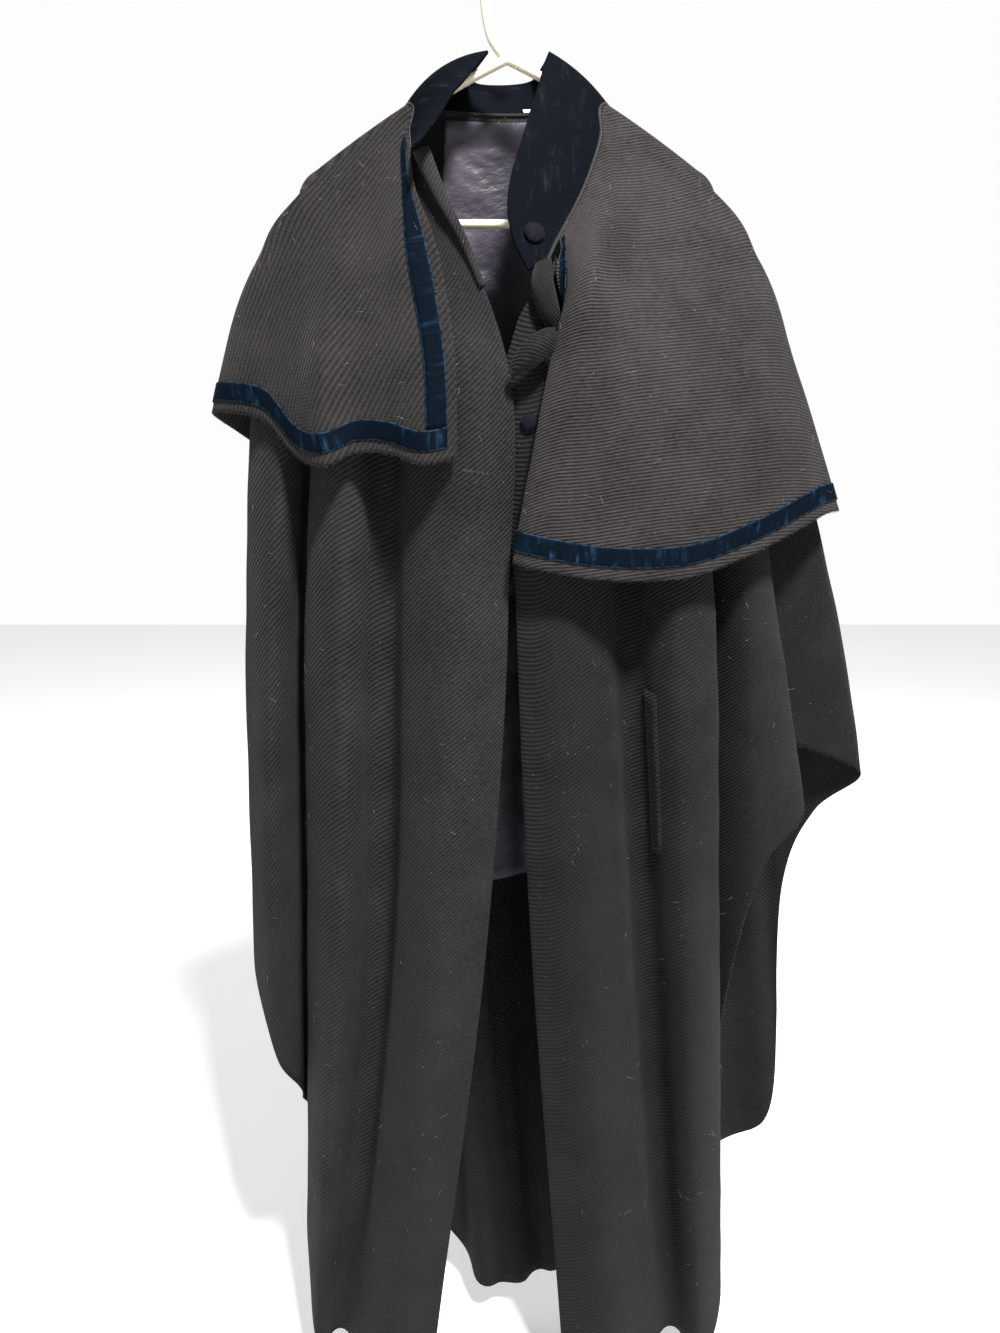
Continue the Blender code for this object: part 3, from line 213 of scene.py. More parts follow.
NECKLINE = (
    Neck("right_end", (-0.0920, -0.0350, -0.1900), (-0.0840, -0.0860, -0.2010), 0.000, (-0.97, -0.22, 0.05),
         (0.10, -0.42, -0.90)),
    Neck("right_tab", (-0.0935, -0.0250, -0.1790), (-0.0670, -0.0640, -0.1720), 0.002, (-0.97, -0.22, 0.05),
         (-0.30, -0.40, -0.87)),
    Neck("right_front", (-0.0950, -0.0160, -0.1670), (-0.0540, -0.0420, -0.1440), 0.004, (-0.98, -0.17, 0.12),
         (-0.40, -0.38, -0.83)),
    Neck("right_turn", 75, (-0.0380, -0.0210, -0.1190), 0.008, None, None),
    Neck("right_over", 38, (-0.0290, -0.0100, -0.1040), 0.009, None, None),
    Neck("right_neck", 0, (-0.0200, 0.0000, -0.0910), 0.010, None, None),
    Neck("right_behind", (-0.0960, 0.0120, -0.1365), (-0.0260, 0.0240, -0.0890), 0.006, (-0.12, 0.54, -0.83),
         (-0.12, 0.54, -0.83)),
    Neck("back_right", (-0.0800, 0.0260, -0.1350), (-0.0380, 0.0600, -0.0885), 0.003, (-0.15, 0.42, -0.90),
         (-0.15, 0.42, -0.90)),
    Neck("back_mid_right", (-0.0460, 0.0370, -0.1340), (-0.0330, 0.0840, -0.0885), 0.000, (-0.05, 0.40, -0.92),
         (-0.05, 0.40, -0.92)),
    Neck("back_centre", (-0.0020, 0.0420, -0.1340), (-0.0060, 0.0920, -0.0880), 0.000, (0.00, 0.40, -0.92),
         (0.00, 0.40, -0.92)),
    Neck("back_mid_left", (0.0420, 0.0380, -0.1340), (0.0220, 0.0840, -0.0880), 0.000, (0.05, 0.40, -0.92),
         (0.05, 0.40, -0.92)),
    Neck("back_left", (0.0790, 0.0260, -0.1350), (0.0320, 0.0600, -0.0885), 0.002, (0.15, 0.42, -0.90),
         (0.15, 0.42, -0.90)),
    Neck("left_behind", (0.0960, 0.0120, -0.1365), (0.0390, 0.0240, -0.0895), 0.003, (0.12, 0.54, -0.83),
         (0.12, 0.54, -0.83)),
    Neck("left_neck", 0, (0.0410, 0.0000, -0.0920), 0.004, None, None),
    Neck("left_over", 38, (0.0370, -0.0070, -0.1040), 0.004, None, None),
    Neck("left_turn", 75, (0.0335, -0.0150, -0.1180), 0.004, None, None),
    Neck("left_side", (0.0915, -0.0180, -0.1700), (0.0270, -0.0260, -0.1400), 0.003, (0.97, -0.05, -0.15),
         (0.35, -0.38, -0.85)),
    Neck("left_front", (0.0820, -0.0300, -0.2040), (0.0150, -0.0470, -0.1830), 0.002, (0.94, -0.06, -0.31),
         (0.42, -0.40, -0.81)),
    Neck("left_low", (0.0640, -0.0510, -0.2470), (0.0020, -0.0690, -0.2340), 0.001, (0.90, -0.10, -0.36),
         (0.36, -0.58, -0.73)),
    Neck("left_tab", (0.0530, -0.0620, -0.2680), (0.0010, -0.0770, -0.2600), 0.000, (0.88, -0.10, -0.40),
         (0.20, -0.60, -0.77)),
    Neck("left_round", (0.0440, -0.0720, -0.2860), (0.0080, -0.0830, -0.2880), 0.000, (0.89, -0.10, -0.37),
         (0.05, -0.62, -0.78)),
    Neck("left_end", (0.0370, -0.0800, -0.3020), (0.0200, -0.0865, -0.3110), 0.000, (0.89, -0.10, -0.37),
         (0.00, -0.60, -0.80)),
)
RIDGES = (5, 13)

CLOAK_NECK = {
    "right_end": ((-0.0760, -0.0340, -0.1880), (0.34, -0.38, -0.86)),
    "right_tab": ((-0.0870, -0.0250, -0.1840), (0.02, -0.32, -0.95)),
    "right_front": ((-0.0960, -0.0150, -0.1740), (-0.20, -0.28, -0.94)),
    "left_front": ((0.0860, -0.0260, -0.2090), (0.20, -0.30, -0.93)),
    "left_low": ((0.0650, -0.0430, -0.2550), (0.10, -0.40, -0.91)),
    "left_tab": ((0.0570, -0.0500, -0.2730), (0.06, -0.42, -0.90)),
    "left_round": ((0.0500, -0.0580, -0.2890), (0.00, -0.42, -0.90)),
    "left_end": ((0.0420, -0.0660, -0.3050), (-0.10, -0.42, -0.90)),
}

CLOAK = (
    Fold("right_edge", -1, neck(0), (-0.042, -0.072), (-0.004, -0.092), (0.001, -0.100), (-0.018, -0.107),
         (-0.078, -0.120), -1.500),
    Fold("right_bulge", -1, neck(2), (-0.080, -0.048), (-0.050, -0.095), (-0.055, -0.111), (-0.075, -0.125),
         (-0.130, -0.135), -1.505),
    Fold("right_crease", -1, RIDGE, None, (-0.115, -0.050), (-0.126, -0.060), (-0.136, -0.068), (-0.188, -0.080),
         -1.495),
    Fold("right_second", -1, arm(0.122), None, (-0.150, -0.060), (-0.168, -0.086), (-0.178, -0.098),
         (-0.216, -0.105), -1.480),
    Fold("right_turn", -1, arm(0.146), None, (-0.183, -0.035), (-0.208, -0.045), (-0.218, -0.050),
         (-0.237, -0.055), -1.390),
    Fold("right_hidden", -1, arm(0.166), None, (-0.193, -0.010), (-0.217, -0.006), (-0.228, -0.006),
         (-0.246, -0.010), -1.250),
    Fold("right_outer", -1, arm(0.186), None, (-0.216, -0.034), (-0.245, -0.052), (-0.258, -0.058),
         (-0.262, -0.060), -1.150),
    Fold("right_side", -1, TIP, None, (-0.255, 0.000), (-0.283, 0.002), (-0.294, 0.003), (-0.292, 0.003), -1.050),
    Fold("back_1", 1, arm(0.188), None, (-0.225, 0.032), (-0.250, 0.045), (-0.257, 0.055), (-0.235, 0.060), -1.120),
    Fold("back_2", 1, arm(0.160), None, (-0.190, 0.026), (-0.205, 0.034), (-0.205, 0.040), (-0.195, 0.045), -1.220),
    Fold("back_3", 1, arm(0.130), None, (-0.155, 0.056), (-0.165, 0.082), (-0.168, 0.100), (-0.165, 0.110), -1.340),
    Fold("back_4", 1, RIDGE, None, (-0.118, 0.038), (-0.120, 0.052), (-0.120, 0.062), (-0.118, 0.068), -1.420),
    Fold("back_5", 1, neck(7.5), None, (-0.075, 0.062), (-0.075, 0.086), (-0.073, 0.095), (-0.070, 0.060), -1.480),
    Fold("back_6", 1, neck(8.5), None, (-0.030, 0.050), (-0.030, 0.062), (-0.028, 0.060), (-0.025, 0.010), -1.510),
    Fold("back_7", 1, neck(9.5), None, (0.020, 0.064), (0.022, 0.088), (0.025, 0.088), (0.030, 0.030), -1.515),
    Fold("back_8", 1, neck(10.5), None, (0.070, 0.046), (0.072, 0.060), (0.075, 0.060), (0.080, 0.030), -1.490),
    Fold("back_9", 1, RIDGE, None, (0.112, 0.060), (0.120, 0.088), (0.130, 0.110), (0.140, 0.125), -1.440),
    Fold("back_10", 1, arm(0.120), None, (0.146, 0.040), (0.165, 0.054), (0.180, 0.065), (0.200, 0.075), -1.400),
    Fold("back_11", 1, arm(0.142), None, (0.182, 0.058), (0.210, 0.080), (0.255, 0.105), (0.310, 0.118), -1.385),
    Fold("back_12", 1, arm(0.160), None, (0.204, 0.050), (0.245, 0.070), (0.300, 0.098), (0.365, 0.108), -1.345),
    Fold("back_13", 1, arm(0.176), None, (0.224, 0.046), (0.275, 0.070), (0.325, 0.103), (0.384, 0.112), -1.230),
    Fold("back_14", 1, arm(0.190), None, (0.242, 0.040), (0.300, 0.066), (0.345, 0.096), (0.386, 0.100), -1.010),
    Fold("back_15", 1, arm(0.200), None, (0.262, 0.032), (0.335, 0.058), (0.385, 0.083), (0.420, 0.090), -0.905),
    Fold("left_side", 1, TIP, None, (0.276, 0.014), (0.364, 0.034), (0.444, 0.055), (0.560, 0.060), -0.845),
    Fold("left_under", -1, arm(0.200), None, (0.236, 0.006), (0.272, 0.012), (0.318, 0.015), (0.360, 0.015), -0.800),
    Fold("left_far", -1, arm(0.190), None, (0.238, -0.014), (0.286, -0.018), (0.348, -0.020), (0.400, -0.020),
         -0.868),
    Fold("left_light", -1, arm(0.178), None, (0.218, -0.036), (0.250, -0.045), (0.274, -0.055), (0.290, -0.060),
         -0.945),
    Fold("left_hidden", -1, arm(0.162), None, (0.180, -0.010), (0.208, -0.006), (0.231, -0.018), (0.256, -0.034),
         -1.220),
    Fold("left_turn", -1, arm(0.144), None, (0.182, -0.040), (0.213, -0.058), (0.232, -0.060), (0.256, -0.060),
         -1.465),
    Fold("left_second", -1, arm(0.122), None, (0.150, -0.060), (0.170, -0.090), (0.190, -0.098), (0.222, -0.096),
         -1.510),
    Fold("left_crease", -1, RIDGE, None, (0.113, -0.050), (0.124, -0.064), (0.147, -0.072), (0.190, -0.072), -1.500),
    Fold("left_bulge", -1, neck(17), (0.084, -0.050), (0.064, -0.083), (0.062, -0.101), (0.080, -0.122),
         (0.118, -0.130), -1.512),
    Fold("left_edge", -1, neck(21), (0.021, -0.084, -0.338), (0.003, -0.087), (0.009, -0.095), (0.024, -0.105),
         (0.062, -0.112), -1.500),
)

CAPE = (
    Cape("right_edge", -1, neck(0), (-0.070, -0.080), (-0.049, -0.114), (-0.048, -0.120, -0.485)),
    Cape("right_wave", -1, neck(2), (-0.100, -0.074), (-0.082, -0.112), (-0.080, -0.126, -0.491)),
    Cape("right_dip", -1, RIDGE, (-0.122, -0.056), (-0.117, -0.098), (-0.113, -0.106, -0.481)),
    Cape("right_flat", -1, arm(0.120), (-0.143, -0.046), (-0.150, -0.088), (-0.146, -0.097, -0.480)),
    Cape("right_fold", -1, arm(0.145), (-0.165, -0.042), (-0.180, -0.092), (-0.177, -0.107, -0.492)),
    Cape("right_fall", -1, arm(0.166), (-0.190, -0.032), (-0.208, -0.062), (-0.209, -0.074, -0.482)),
    Cape("right_drop", -1, arm(0.186), (-0.214, -0.022), (-0.240, -0.040), (-0.245, -0.044, -0.447)),
    Cape("right_wing", -1, arm(0.200), (-0.236, -0.012), (-0.278, -0.022), (-0.287, -0.022, -0.437)),
    Cape("right_side", -1, TIP, (-0.254, 0.003), (-0.304, 0.010), (-0.314, 0.012, -0.436)),
    Cape("right_back_wing", 1, arm(0.200), (-0.238, 0.018), (-0.285, 0.042), (-0.300, 0.052, -0.452)),
    Cape("right_back_drop", 1, arm(0.186), (-0.214, 0.026), (-0.255, 0.060), (-0.270, 0.082, -0.475)),
    Cape("right_back_fall", 1, arm(0.166), (-0.190, 0.036), (-0.222, 0.070), (-0.232, 0.098, -0.490)),
    Cape("right_back_fold", 1, arm(0.145), (-0.165, 0.046), (-0.185, 0.086), (-0.190, 0.120, -0.505)),
    Cape("right_back_dip", 1, arm(0.120), (-0.138, 0.050), (-0.150, 0.082), (-0.150, 0.106, -0.510)),
    Cape("right_back_wave", 1, RIDGE, (-0.108, 0.058), (-0.112, 0.096), (-0.110, 0.128, -0.520)),
    Cape("back_right", 1, neck(7.5), (-0.062, 0.064), (-0.062, 0.096), (-0.060, 0.122, -0.525)),
    Cape("back_centre", 1, neck(9), (0.000, 0.068), (0.000, 0.104), (0.000, 0.138, -0.530)),
    Cape("back_left", 1, neck(10.5), (0.060, 0.064), (0.062, 0.098), (0.062, 0.124, -0.538)),
    Cape("left_back_wave", 1, RIDGE, (0.112, 0.058), (0.118, 0.096), (0.120, 0.130, -0.545)),
    Cape("left_back_dip", 1, arm(0.120), (0.146, 0.052), (0.158, 0.084), (0.168, 0.112, -0.550)),
    Cape("left_back_fold", 1, arm(0.145), (0.174, 0.048), (0.194, 0.086), (0.212, 0.126, -0.556)),
    Cape("left_back_fall", 1, arm(0.166), (0.200, 0.038), (0.234, 0.072), (0.262, 0.104, -0.556)),
    Cape("left_back_drop", 1, arm(0.186), (0.226, 0.028), (0.268, 0.058), (0.308, 0.082, -0.552)),
    Cape("left_back_wing", 1, arm(0.200), (0.246, 0.016), (0.294, 0.038), (0.345, 0.055, -0.545)),
    Cape("left_side", -1, TIP, (0.256, 0.002), (0.309, 0.011), (0.364, 0.020, -0.538)),
    Cape("left_wing", -1, arm(0.200), (0.245, -0.009), (0.297, -0.012), (0.344, -0.008, -0.540)),
    Cape("left_drop", -1, arm(0.186), (0.228, -0.020), (0.280, -0.032), (0.316, -0.036, -0.549)),
    Cape("left_fall", -1, arm(0.166), (0.204, -0.030), (0.250, -0.054), (0.275, -0.066, -0.566)),
    Cape("left_fold", -1, arm(0.145), (0.178, -0.038), (0.215, -0.072), (0.232, -0.090, -0.582)),
    Cape("left_flat", -1, arm(0.120), (0.152, -0.046), (0.180, -0.088), (0.185, -0.112, -0.596)),
    Cape("left_dip", -1, RIDGE, (0.128, -0.054), (0.145, -0.100), (0.140, -0.126, -0.600)),
    Cape("left_mid", -1, neck(17), (0.104, -0.068), (0.104, -0.110), (0.085, -0.133, -0.598)),
    Cape("left_near", -1, neck(18), (0.080, -0.082), (0.066, -0.116), (0.035, -0.131, -0.590)),
    Cape("left_folded", -1, neck(18.9), (0.062, -0.084, -0.290), (0.040, -0.109), (0.006, -0.123, -0.583)),
    Cape("left_flap", -1, neck(19.3), (0.055, -0.080, -0.296), (0.055, -0.099), (0.024, -0.111, -0.580)),
    Cape("left_edge", -1, neck(19.6), (0.048, -0.079, -0.301), (0.078, -0.098), (0.047, -0.110, -0.574)),
)


def smooth(knots: Sequence[float], values: np.ndarray, where: float | Sequence[float]) -> np.ndarray:
    """Read a cubic curve through values at the knots.

    Args:
        knots: Rising places of the values.
        values: One row for each knot.
        where: Places to read.

    Returns:
        One row for each place.
    """
    knots = np.asarray(knots, float)
    values = np.asarray(values, float)
    where = np.clip(np.atleast_1d(np.asarray(where, float)), knots[0], knots[-1])
    steps = np.diff(knots)
    slopes = np.diff(values, axis=0) / steps[:, None]
    tangents = np.empty_like(values)
    tangents[0] = slopes[0]
    tangents[-1] = slopes[-1]
    weight = (steps[:-1] / (steps[:-1] + steps[1:]))[:, None]
    tangents[1:-1] = slopes[:-1] * (1 - weight) + slopes[1:] * weight
    span = np.clip(np.searchsorted(knots, where, side="right") - 1, 0, len(steps) - 1)
    width = steps[span]
    t = ((where - knots[span]) / width)[:, None]
    width = width[:, None]
    rise = values[span] * (2 * t**3 - 3 * t**2 + 1) + values[span + 1] * (3 * t**2 - 2 * t**3)
    return rise + width * (tangents[span] * (t**3 - 2 * t**2 + t) + tangents[span + 1] * (t**3 - t**2))


def tip_circle() -> tuple[Pair, float, float]:
    """Return centre, radius and first angle of the round end that joins an arm to the lower bar."""
    slope = ARM_SLOPE + 2 * ARM_DROOP * ARM_STRAIGHT
    fall = math.atan(slope)
    end_z = NECK_Z - ARM_SLOPE * ARM_STRAIGHT - ARM_DROOP * ARM_STRAIGHT**2
    radius = (end_z - BAR_Z) / (1 + math.cos(fall))
    centre = (ARM_STRAIGHT - radius * math.sin(fall), end_z - radius * math.cos(fall))
    return centre, radius, fall


TIP_CENTRE, TIP_RADIUS, TIP_FALL = tip_circle()
ARM_TIP = ARM_STRAIGHT + TIP_RADIUS * (math.pi / 2 - TIP_FALL)


def arm_point(station: float) -> tuple[np.ndarray, np.ndarray]:
    """Return the arm's middle and outward normal, both as x and z, at a distance from the neck."""
    if station <= ARM_STRAIGHT:
        fall = math.atan(ARM_SLOPE + 2 * ARM_DROOP * station)
        middle = np.array([station, NECK_Z - ARM_SLOPE * station - ARM_DROOP * station**2])
    else:
        fall = TIP_FALL + (station - ARM_STRAIGHT) / TIP_RADIUS
        middle = np.array(TIP_CENTRE) + TIP_RADIUS * np.array([math.sin(fall), math.cos(fall)])
    return middle, np.array([math.sin(fall), math.cos(fall)])


def over_arm(station: float, hand: int, side: int, layer: float, angle: float) -> np.ndarray:
    """Return a point of a cloth layer that wraps the arm; side is -1 for the front."""
    middle, normal = arm_point(station)
    flat = middle + layer * math.cos(angle) * normal
    return np.array([hand * flat[0], side * layer * math.sin(angle), flat[1]])


def arm_rows(station: float, hand: int, side: int, layer: float, growth: float, start: float = 0.0) -> np.ndarray:
    """Work out where cloth starts over an arm.

    Args:
        station: Distance along the arm.
        hand: -1 for the right arm, 1 for the left.
        side: -1 for the front, 1 for the back.
        layer: Distance of the cloth from the arm's middle.
        growth: How much further out it lies at the arm's tip.
        start: Angle of the cloth's edge from the top of the arm.

    Returns:
        Edge, middle and start of the fall.
    """
    reach = min(1.0, max(0.0, ARM_TIP - station) / TIP_ZONE) ** 0.5
    beyond = max(0.0, station - EDGE_STATIONS[0])
    lean = max(0.0, 1.0 - beyond / LEAN_ZONE) if side > 0 else 0.0
    spread = RIDGE_SPREAD * max(0.0, 1.0 - beyond / SPREAD_ZONE) if side < 0 else 0.0
    layer += growth * max(0.0, (station - TIP_GROWTH_FROM) / (ARM_TIP - TIP_GROWTH_FROM))
    droop = np.array([0.0, 0.0, -TIP_DROOP]) * (1 - reach) ** 1.5
    quarter, last = math.pi / 4 * reach, math.pi / 2 * reach * (1 - 0.45 * lean)
    return np.array([over_arm(station, hand, side, layer, min(start, last)),
                     over_arm(station + spread / 2, hand, side, layer, quarter) + droop / 2,
                     over_arm(station + spread, hand, side, layer, last) + droop + np.array(LEAN_SLIP) * lean])


def neck_seam(row: Neck) -> np.ndarray:
    """Return the point of the collar's seam for one row of the neckline's table."""
    if isinstance(row.seam, tuple):
        return np.array(row.seam)
    hand = -1 if row.name.startswith("right") else 1
    return over_arm(SEAM_STATIONS[row.seam], hand, -1, CAPE_OVER_ARM, math.radians(row.seam))


SEAMS = np.array([neck_seam(row) for row in NECKLINE])
SEAM_PLACES = np.concatenate([[0.0], np.cumsum(np.linalg.norm(np.diff(SEAMS, axis=0), axis=1))])


@dataclass
class NeckEdge:
    """The first three rows of a cloth layer along the neckline: edge, half way down and start of the fall."""

    layer: float
    out: dict[int, float]
    under: float
    own_points: dict[str, tuple[Point, Point]]
    parts: dict[str, tuple[np.ndarray, np.ndarray]] = field(default_factory=dict)

    def __post_init__(self) -> None:
        """Work out the rows of the three stretches of the neckline."""
        stretches = (("right", 0, RIDGES[0], -1), ("back", RIDGES[0], RIDGES[1], 1),
                     ("left", RIDGES[1], len(NECKLINE) - 1, -1))
        for key, first, last, side in stretches:
            rows = np.array([self.station(place, side) for place in range(first, last + 1)])
            self.parts[key] = (SEAM_PLACES[first:last + 1], rows.reshape(len(rows), -1))

    def station(self, place: int, side: int) -> np.ndarray:
        """Return edge, middle and start of the fall at one row of the neckline's table."""
        row = NECKLINE[place]
        if isinstance(row.seam, tuple):
            edge, fall = self.own_points.get(row.name, (None, row.fall))
            if edge is None:
                along = SEAMS[place + 1] - SEAMS[place - 1] if 0 < place < len(SEAMS) - 1 else np.zeros(3)
                normal = np.cross(along, row.out)
                length = np.linalg.norm(normal)
                edge = SEAMS[place] + np.array(row.out) * self.out[side]
                if length > 0:
                    edge = edge - normal / length * self.under
            drop = np.array(fall) * EDGE_DROP[side]
            return np.array([edge, edge + drop / 2, edge + drop])
        hand = -1 if row.name.startswith("right") else 1
        if row.seam == 0:
            return arm_rows(EDGE_STATIONS[0], hand, side, self.layer, 0.0)
        start = math.radians(row.seam)
        points = []
        for step in range(3):
            angle = start + (math.pi / 2 - start) * step / 2
            station = EDGE_STATIONS[row.seam] + EDGE_SPREAD[row.seam] * step / 2
            points.append(over_arm(station, hand, side, self.layer, angle)
                          - np.array([0.0, 0.0, EDGE_SINK[row.seam]]) * step / 2)
        return np.array(points)

    def rows(self, part: str, distance: float) -> np.ndarray:
        """Return edge, middle and start of the fall at a distance along the seam."""
        knots, values = self.parts[part]
        return smooth(knots, values, distance)[0].reshape(3, 3)


@dataclass(frozen=True)
class Line:
    """Fold line made ready: where it starts and the points that it hangs through."""

    name: str
    side: int
    hand: int
    kind: SeatKind
    station: float
    trail: np.ndarray
    hem_z: float


def upper_point(leave: np.ndarray, yoke: np.ndarray) -> np.ndarray:
    """Return a point part of the way down to the yoke; outward the lines spread soon and inward late."""
    share = 0.30
    spread = 0.6 if abs(yoke[0]) > abs(leave[0]) else 1.6
    return leave + (yoke - leave) * np.array([share**spread, share, share])


def cloak_trail(fold: Fold, leave: np.ndarray) -> tuple[np.ndarray, float]:
    """Return the points that one line of the cloak passes through, and the height of its hem."""
    breast = np.array([*fold.breast, BREAST_Z])
    if fold.yoke is None:
        share = (leave[2] - YOKE_Z) / (leave[2] - BREAST_Z)
        yoke = leave + (breast - leave) * share**1.3
        yoke[2] = YOKE_Z
    else:
        yoke = np.array([*fold.yoke, YOKE_Z][:3])
    rest = [np.array([*place, z]) for place, z in ((fold.hip, HIP_Z), (fold.knee, KNEE_Z), (fold.ankle, ANKLE_Z))]
    trail = [leave, upper_point(leave, yoke), yoke, breast] + rest
    trail.append(trail[-1] + (trail[-1] - trail[-2]) * 0.2)
    return np.array(trail), fold.hem


def cape_trail(fold: Cape, leave: np.ndarray) -> tuple[np.ndarray, float]:
    """Return the points that one line of the cape passes through, and the height of its hem."""
    yoke = np.array([*fold.yoke, YOKE_Z][:3])
    trail = [leave, upper_point(leave, yoke), yoke, np.array([*fold.breast, CAPE_BREAST_Z]), np.array(fold.hem)]
    return np.array(trail), fold.hem[2]


@dataclass
class Ring:
    """The cloth from the right front edge round the back to the left front edge."""

    table: Sequence[Fold | Cape]
    trail_of: Callable[[Fold | Cape, np.ndarray], tuple[np.ndarray, float]]
    layer: float
    edge: NeckEdge
    start_offset: float
    growth: float
    lines: list[Line] = field(default_factory=list)

    def __post_init__(self) -> None:
        """Read the fold lines from the table."""
        self.start = math.asin(self.start_offset / self.layer)
        for fold in self.table:
            hand = 1 if fold.breast[0] > 0 else -1
            kind, place = fold.seat.kind, fold.seat.place
            if kind is SeatKind.NECK:
                distance = np.interp(place, range(len(SEAM_PLACES)), SEAM_PLACES)
                part = "back" if fold.side > 0 else "right" if hand < 0 else "left"
                leave = self.edge.rows(part, distance)[2]
            else:
                place = {SeatKind.RIDGE: EDGE_STATIONS[0], SeatKind.TIP: ARM_TIP, SeatKind.ARM: place}[kind]
                leave = arm_rows(place, hand, fold.side, self.layer, self.growth)[2]
            trail, hem = self.trail_of(fold, leave)
            self.lines.append(Line(fold.name, fold.side, hand, kind, place, trail, hem))
        self.names = [line.name for line in self.lines]
        self.trails = np.array([line.trail for line in self.lines])
        self.hems = np.array([[line.hem_z] for line in self.lines])

    def index(self, name: str) -> int:
        """Return the place of a named fold line along the ring."""
        return self.names.index(name)

    def neck_distance(self, line: Line) -> float:
        """Return the distance along the collar's seam of a line that starts there or at a ridge."""
        if line.kind is SeatKind.RIDGE:
            return SEAM_PLACES[RIDGES[0] if line.hand < 0 else RIDGES[1]]
        return float(np.interp(line.station, range(len(SEAM_PLACES)), SEAM_PLACES))

    def tops(self, u: float) -> np.ndarray:
        """Return the cut edge, the middle of the bend and the start of the fall at place u."""
        low = min(int(math.floor(u)), len(self.lines) - 2)
        share = u - low
        first, second = self.lines[low], self.lines[low + 1]
        if SeatKind.NECK not in (first.kind, second.kind):
            station = first.station * (1 - share) + second.station * share
            side = second.side if first.kind is SeatKind.TIP else first.side
            return arm_rows(station, first.hand, side, self.layer, self.growth, self.start)
        start, stop = self.neck_distance(first), self.neck_distance(second)
        part = "back" if first.side > 0 else "right" if start < SEAM_PLACES[RIDGES[0]] else "left"
        if part != "back" and SeatKind.RIDGE in (first.kind, second.kind):
            ridge, far = (start, stop) if first.kind is SeatKind.RIDGE else (stop, start)
            away = share if first.kind is SeatKind.RIDGE else 1 - share
            step = SEAM_PLACES[RIDGES[1] + 1:RIDGES[1] + 3] - SEAM_PLACES[RIDGES[1]]
            run = np.interp(away, (0.0, 0.25, 0.5, 1.0), (0.0, *step, abs(far - ridge)))
            distance = ridge + run * (1 if far > ridge else -1)
        else:
            distance = start + (stop - start) * share
        rows = self.edge.rows(part, distance)
        if share in (0.0, 1.0) and (first, second)[int(share)].kind is SeatKind.RIDGE:
            line = (first, second)[int(share)]
            rows = arm_rows(line.station, line.hand, line.side, self.layer, self.growth, self.start)
        return rows

    def column(self, u: float, shares: Sequence[float], foot: Sequence[float]) -> np.ndarray:
        """Work out one column of points down the cloth.

        Args:
            u: Place along the ring.
            shares: Rows, as shares of the fall.
            foot: Distances from the hem of the rows of its foot, the first of which is where the shares end.

        Returns:
            Edge, middle of the bend, the rows and the hem.
        """
        places = range(len(self.lines))
        top, middle, leave = self.tops(u)
        trail = smooth(places, self.trails.reshape(len(self.lines), -1), u)[0].reshape(-1, 3)
        hem = smooth(places, self.hems, u)[0][0]
        trail[0] = leave
        trail[1] = upper_point(leave, trail[2])
        heights = np.linspace(leave[2], hem, 90)
        across = smooth(-trail[:, 2], trail[:, :2], -heights)
        fall = np.column_stack([across, heights])
        run = np.concatenate([[0.0], np.cumsum(np.linalg.norm(np.diff(fall, axis=0), axis=1))])
        body = run[-1] - (foot[0] if foot else 0.0)
        wanted = [share * body for share in shares] + [run[-1] - step for step in foot[1:]] + [run[-1]] * bool(foot)
        spots = np.column_stack([np.interp(wanted, run, fall[:, axis]) for axis in range(3)])
        return np.vstack([top, middle, spots])


def finer(values: Sequence[float], parts: int) -> list[float]:
    """Return the values with each step between them cut into equal parts."""
    fine = []
    for first, second in zip(values, values[1:]):
        fine += [first + (second - first) * part / parts for part in range(parts)]
    return fine + [values[-1]]


def grid_normals(points: np.ndarray) -> np.ndarray:
    """Return the outward normals of a grid of columns by rows, from the cells round each point."""
    near, far = points[:-1], points[1:]
    upper = np.cross(far[:, :-1] - near[:, :-1], far[:, 1:] - near[:, :-1])
    lower = np.cross(far[:, 1:] - near[:, :-1], near[:, 1:] - near[:, :-1])
    sums = np.zeros_like(points)
    for cells in (upper, lower):
        sums[:-1, :-1] += cells
        sums[1:, :-1] += cells
        sums[:-1, 1:] += cells
        sums[1:, 1:] += cells
    return sums / np.maximum(np.linalg.norm(sums, axis=2, keepdims=True), 1e-12)


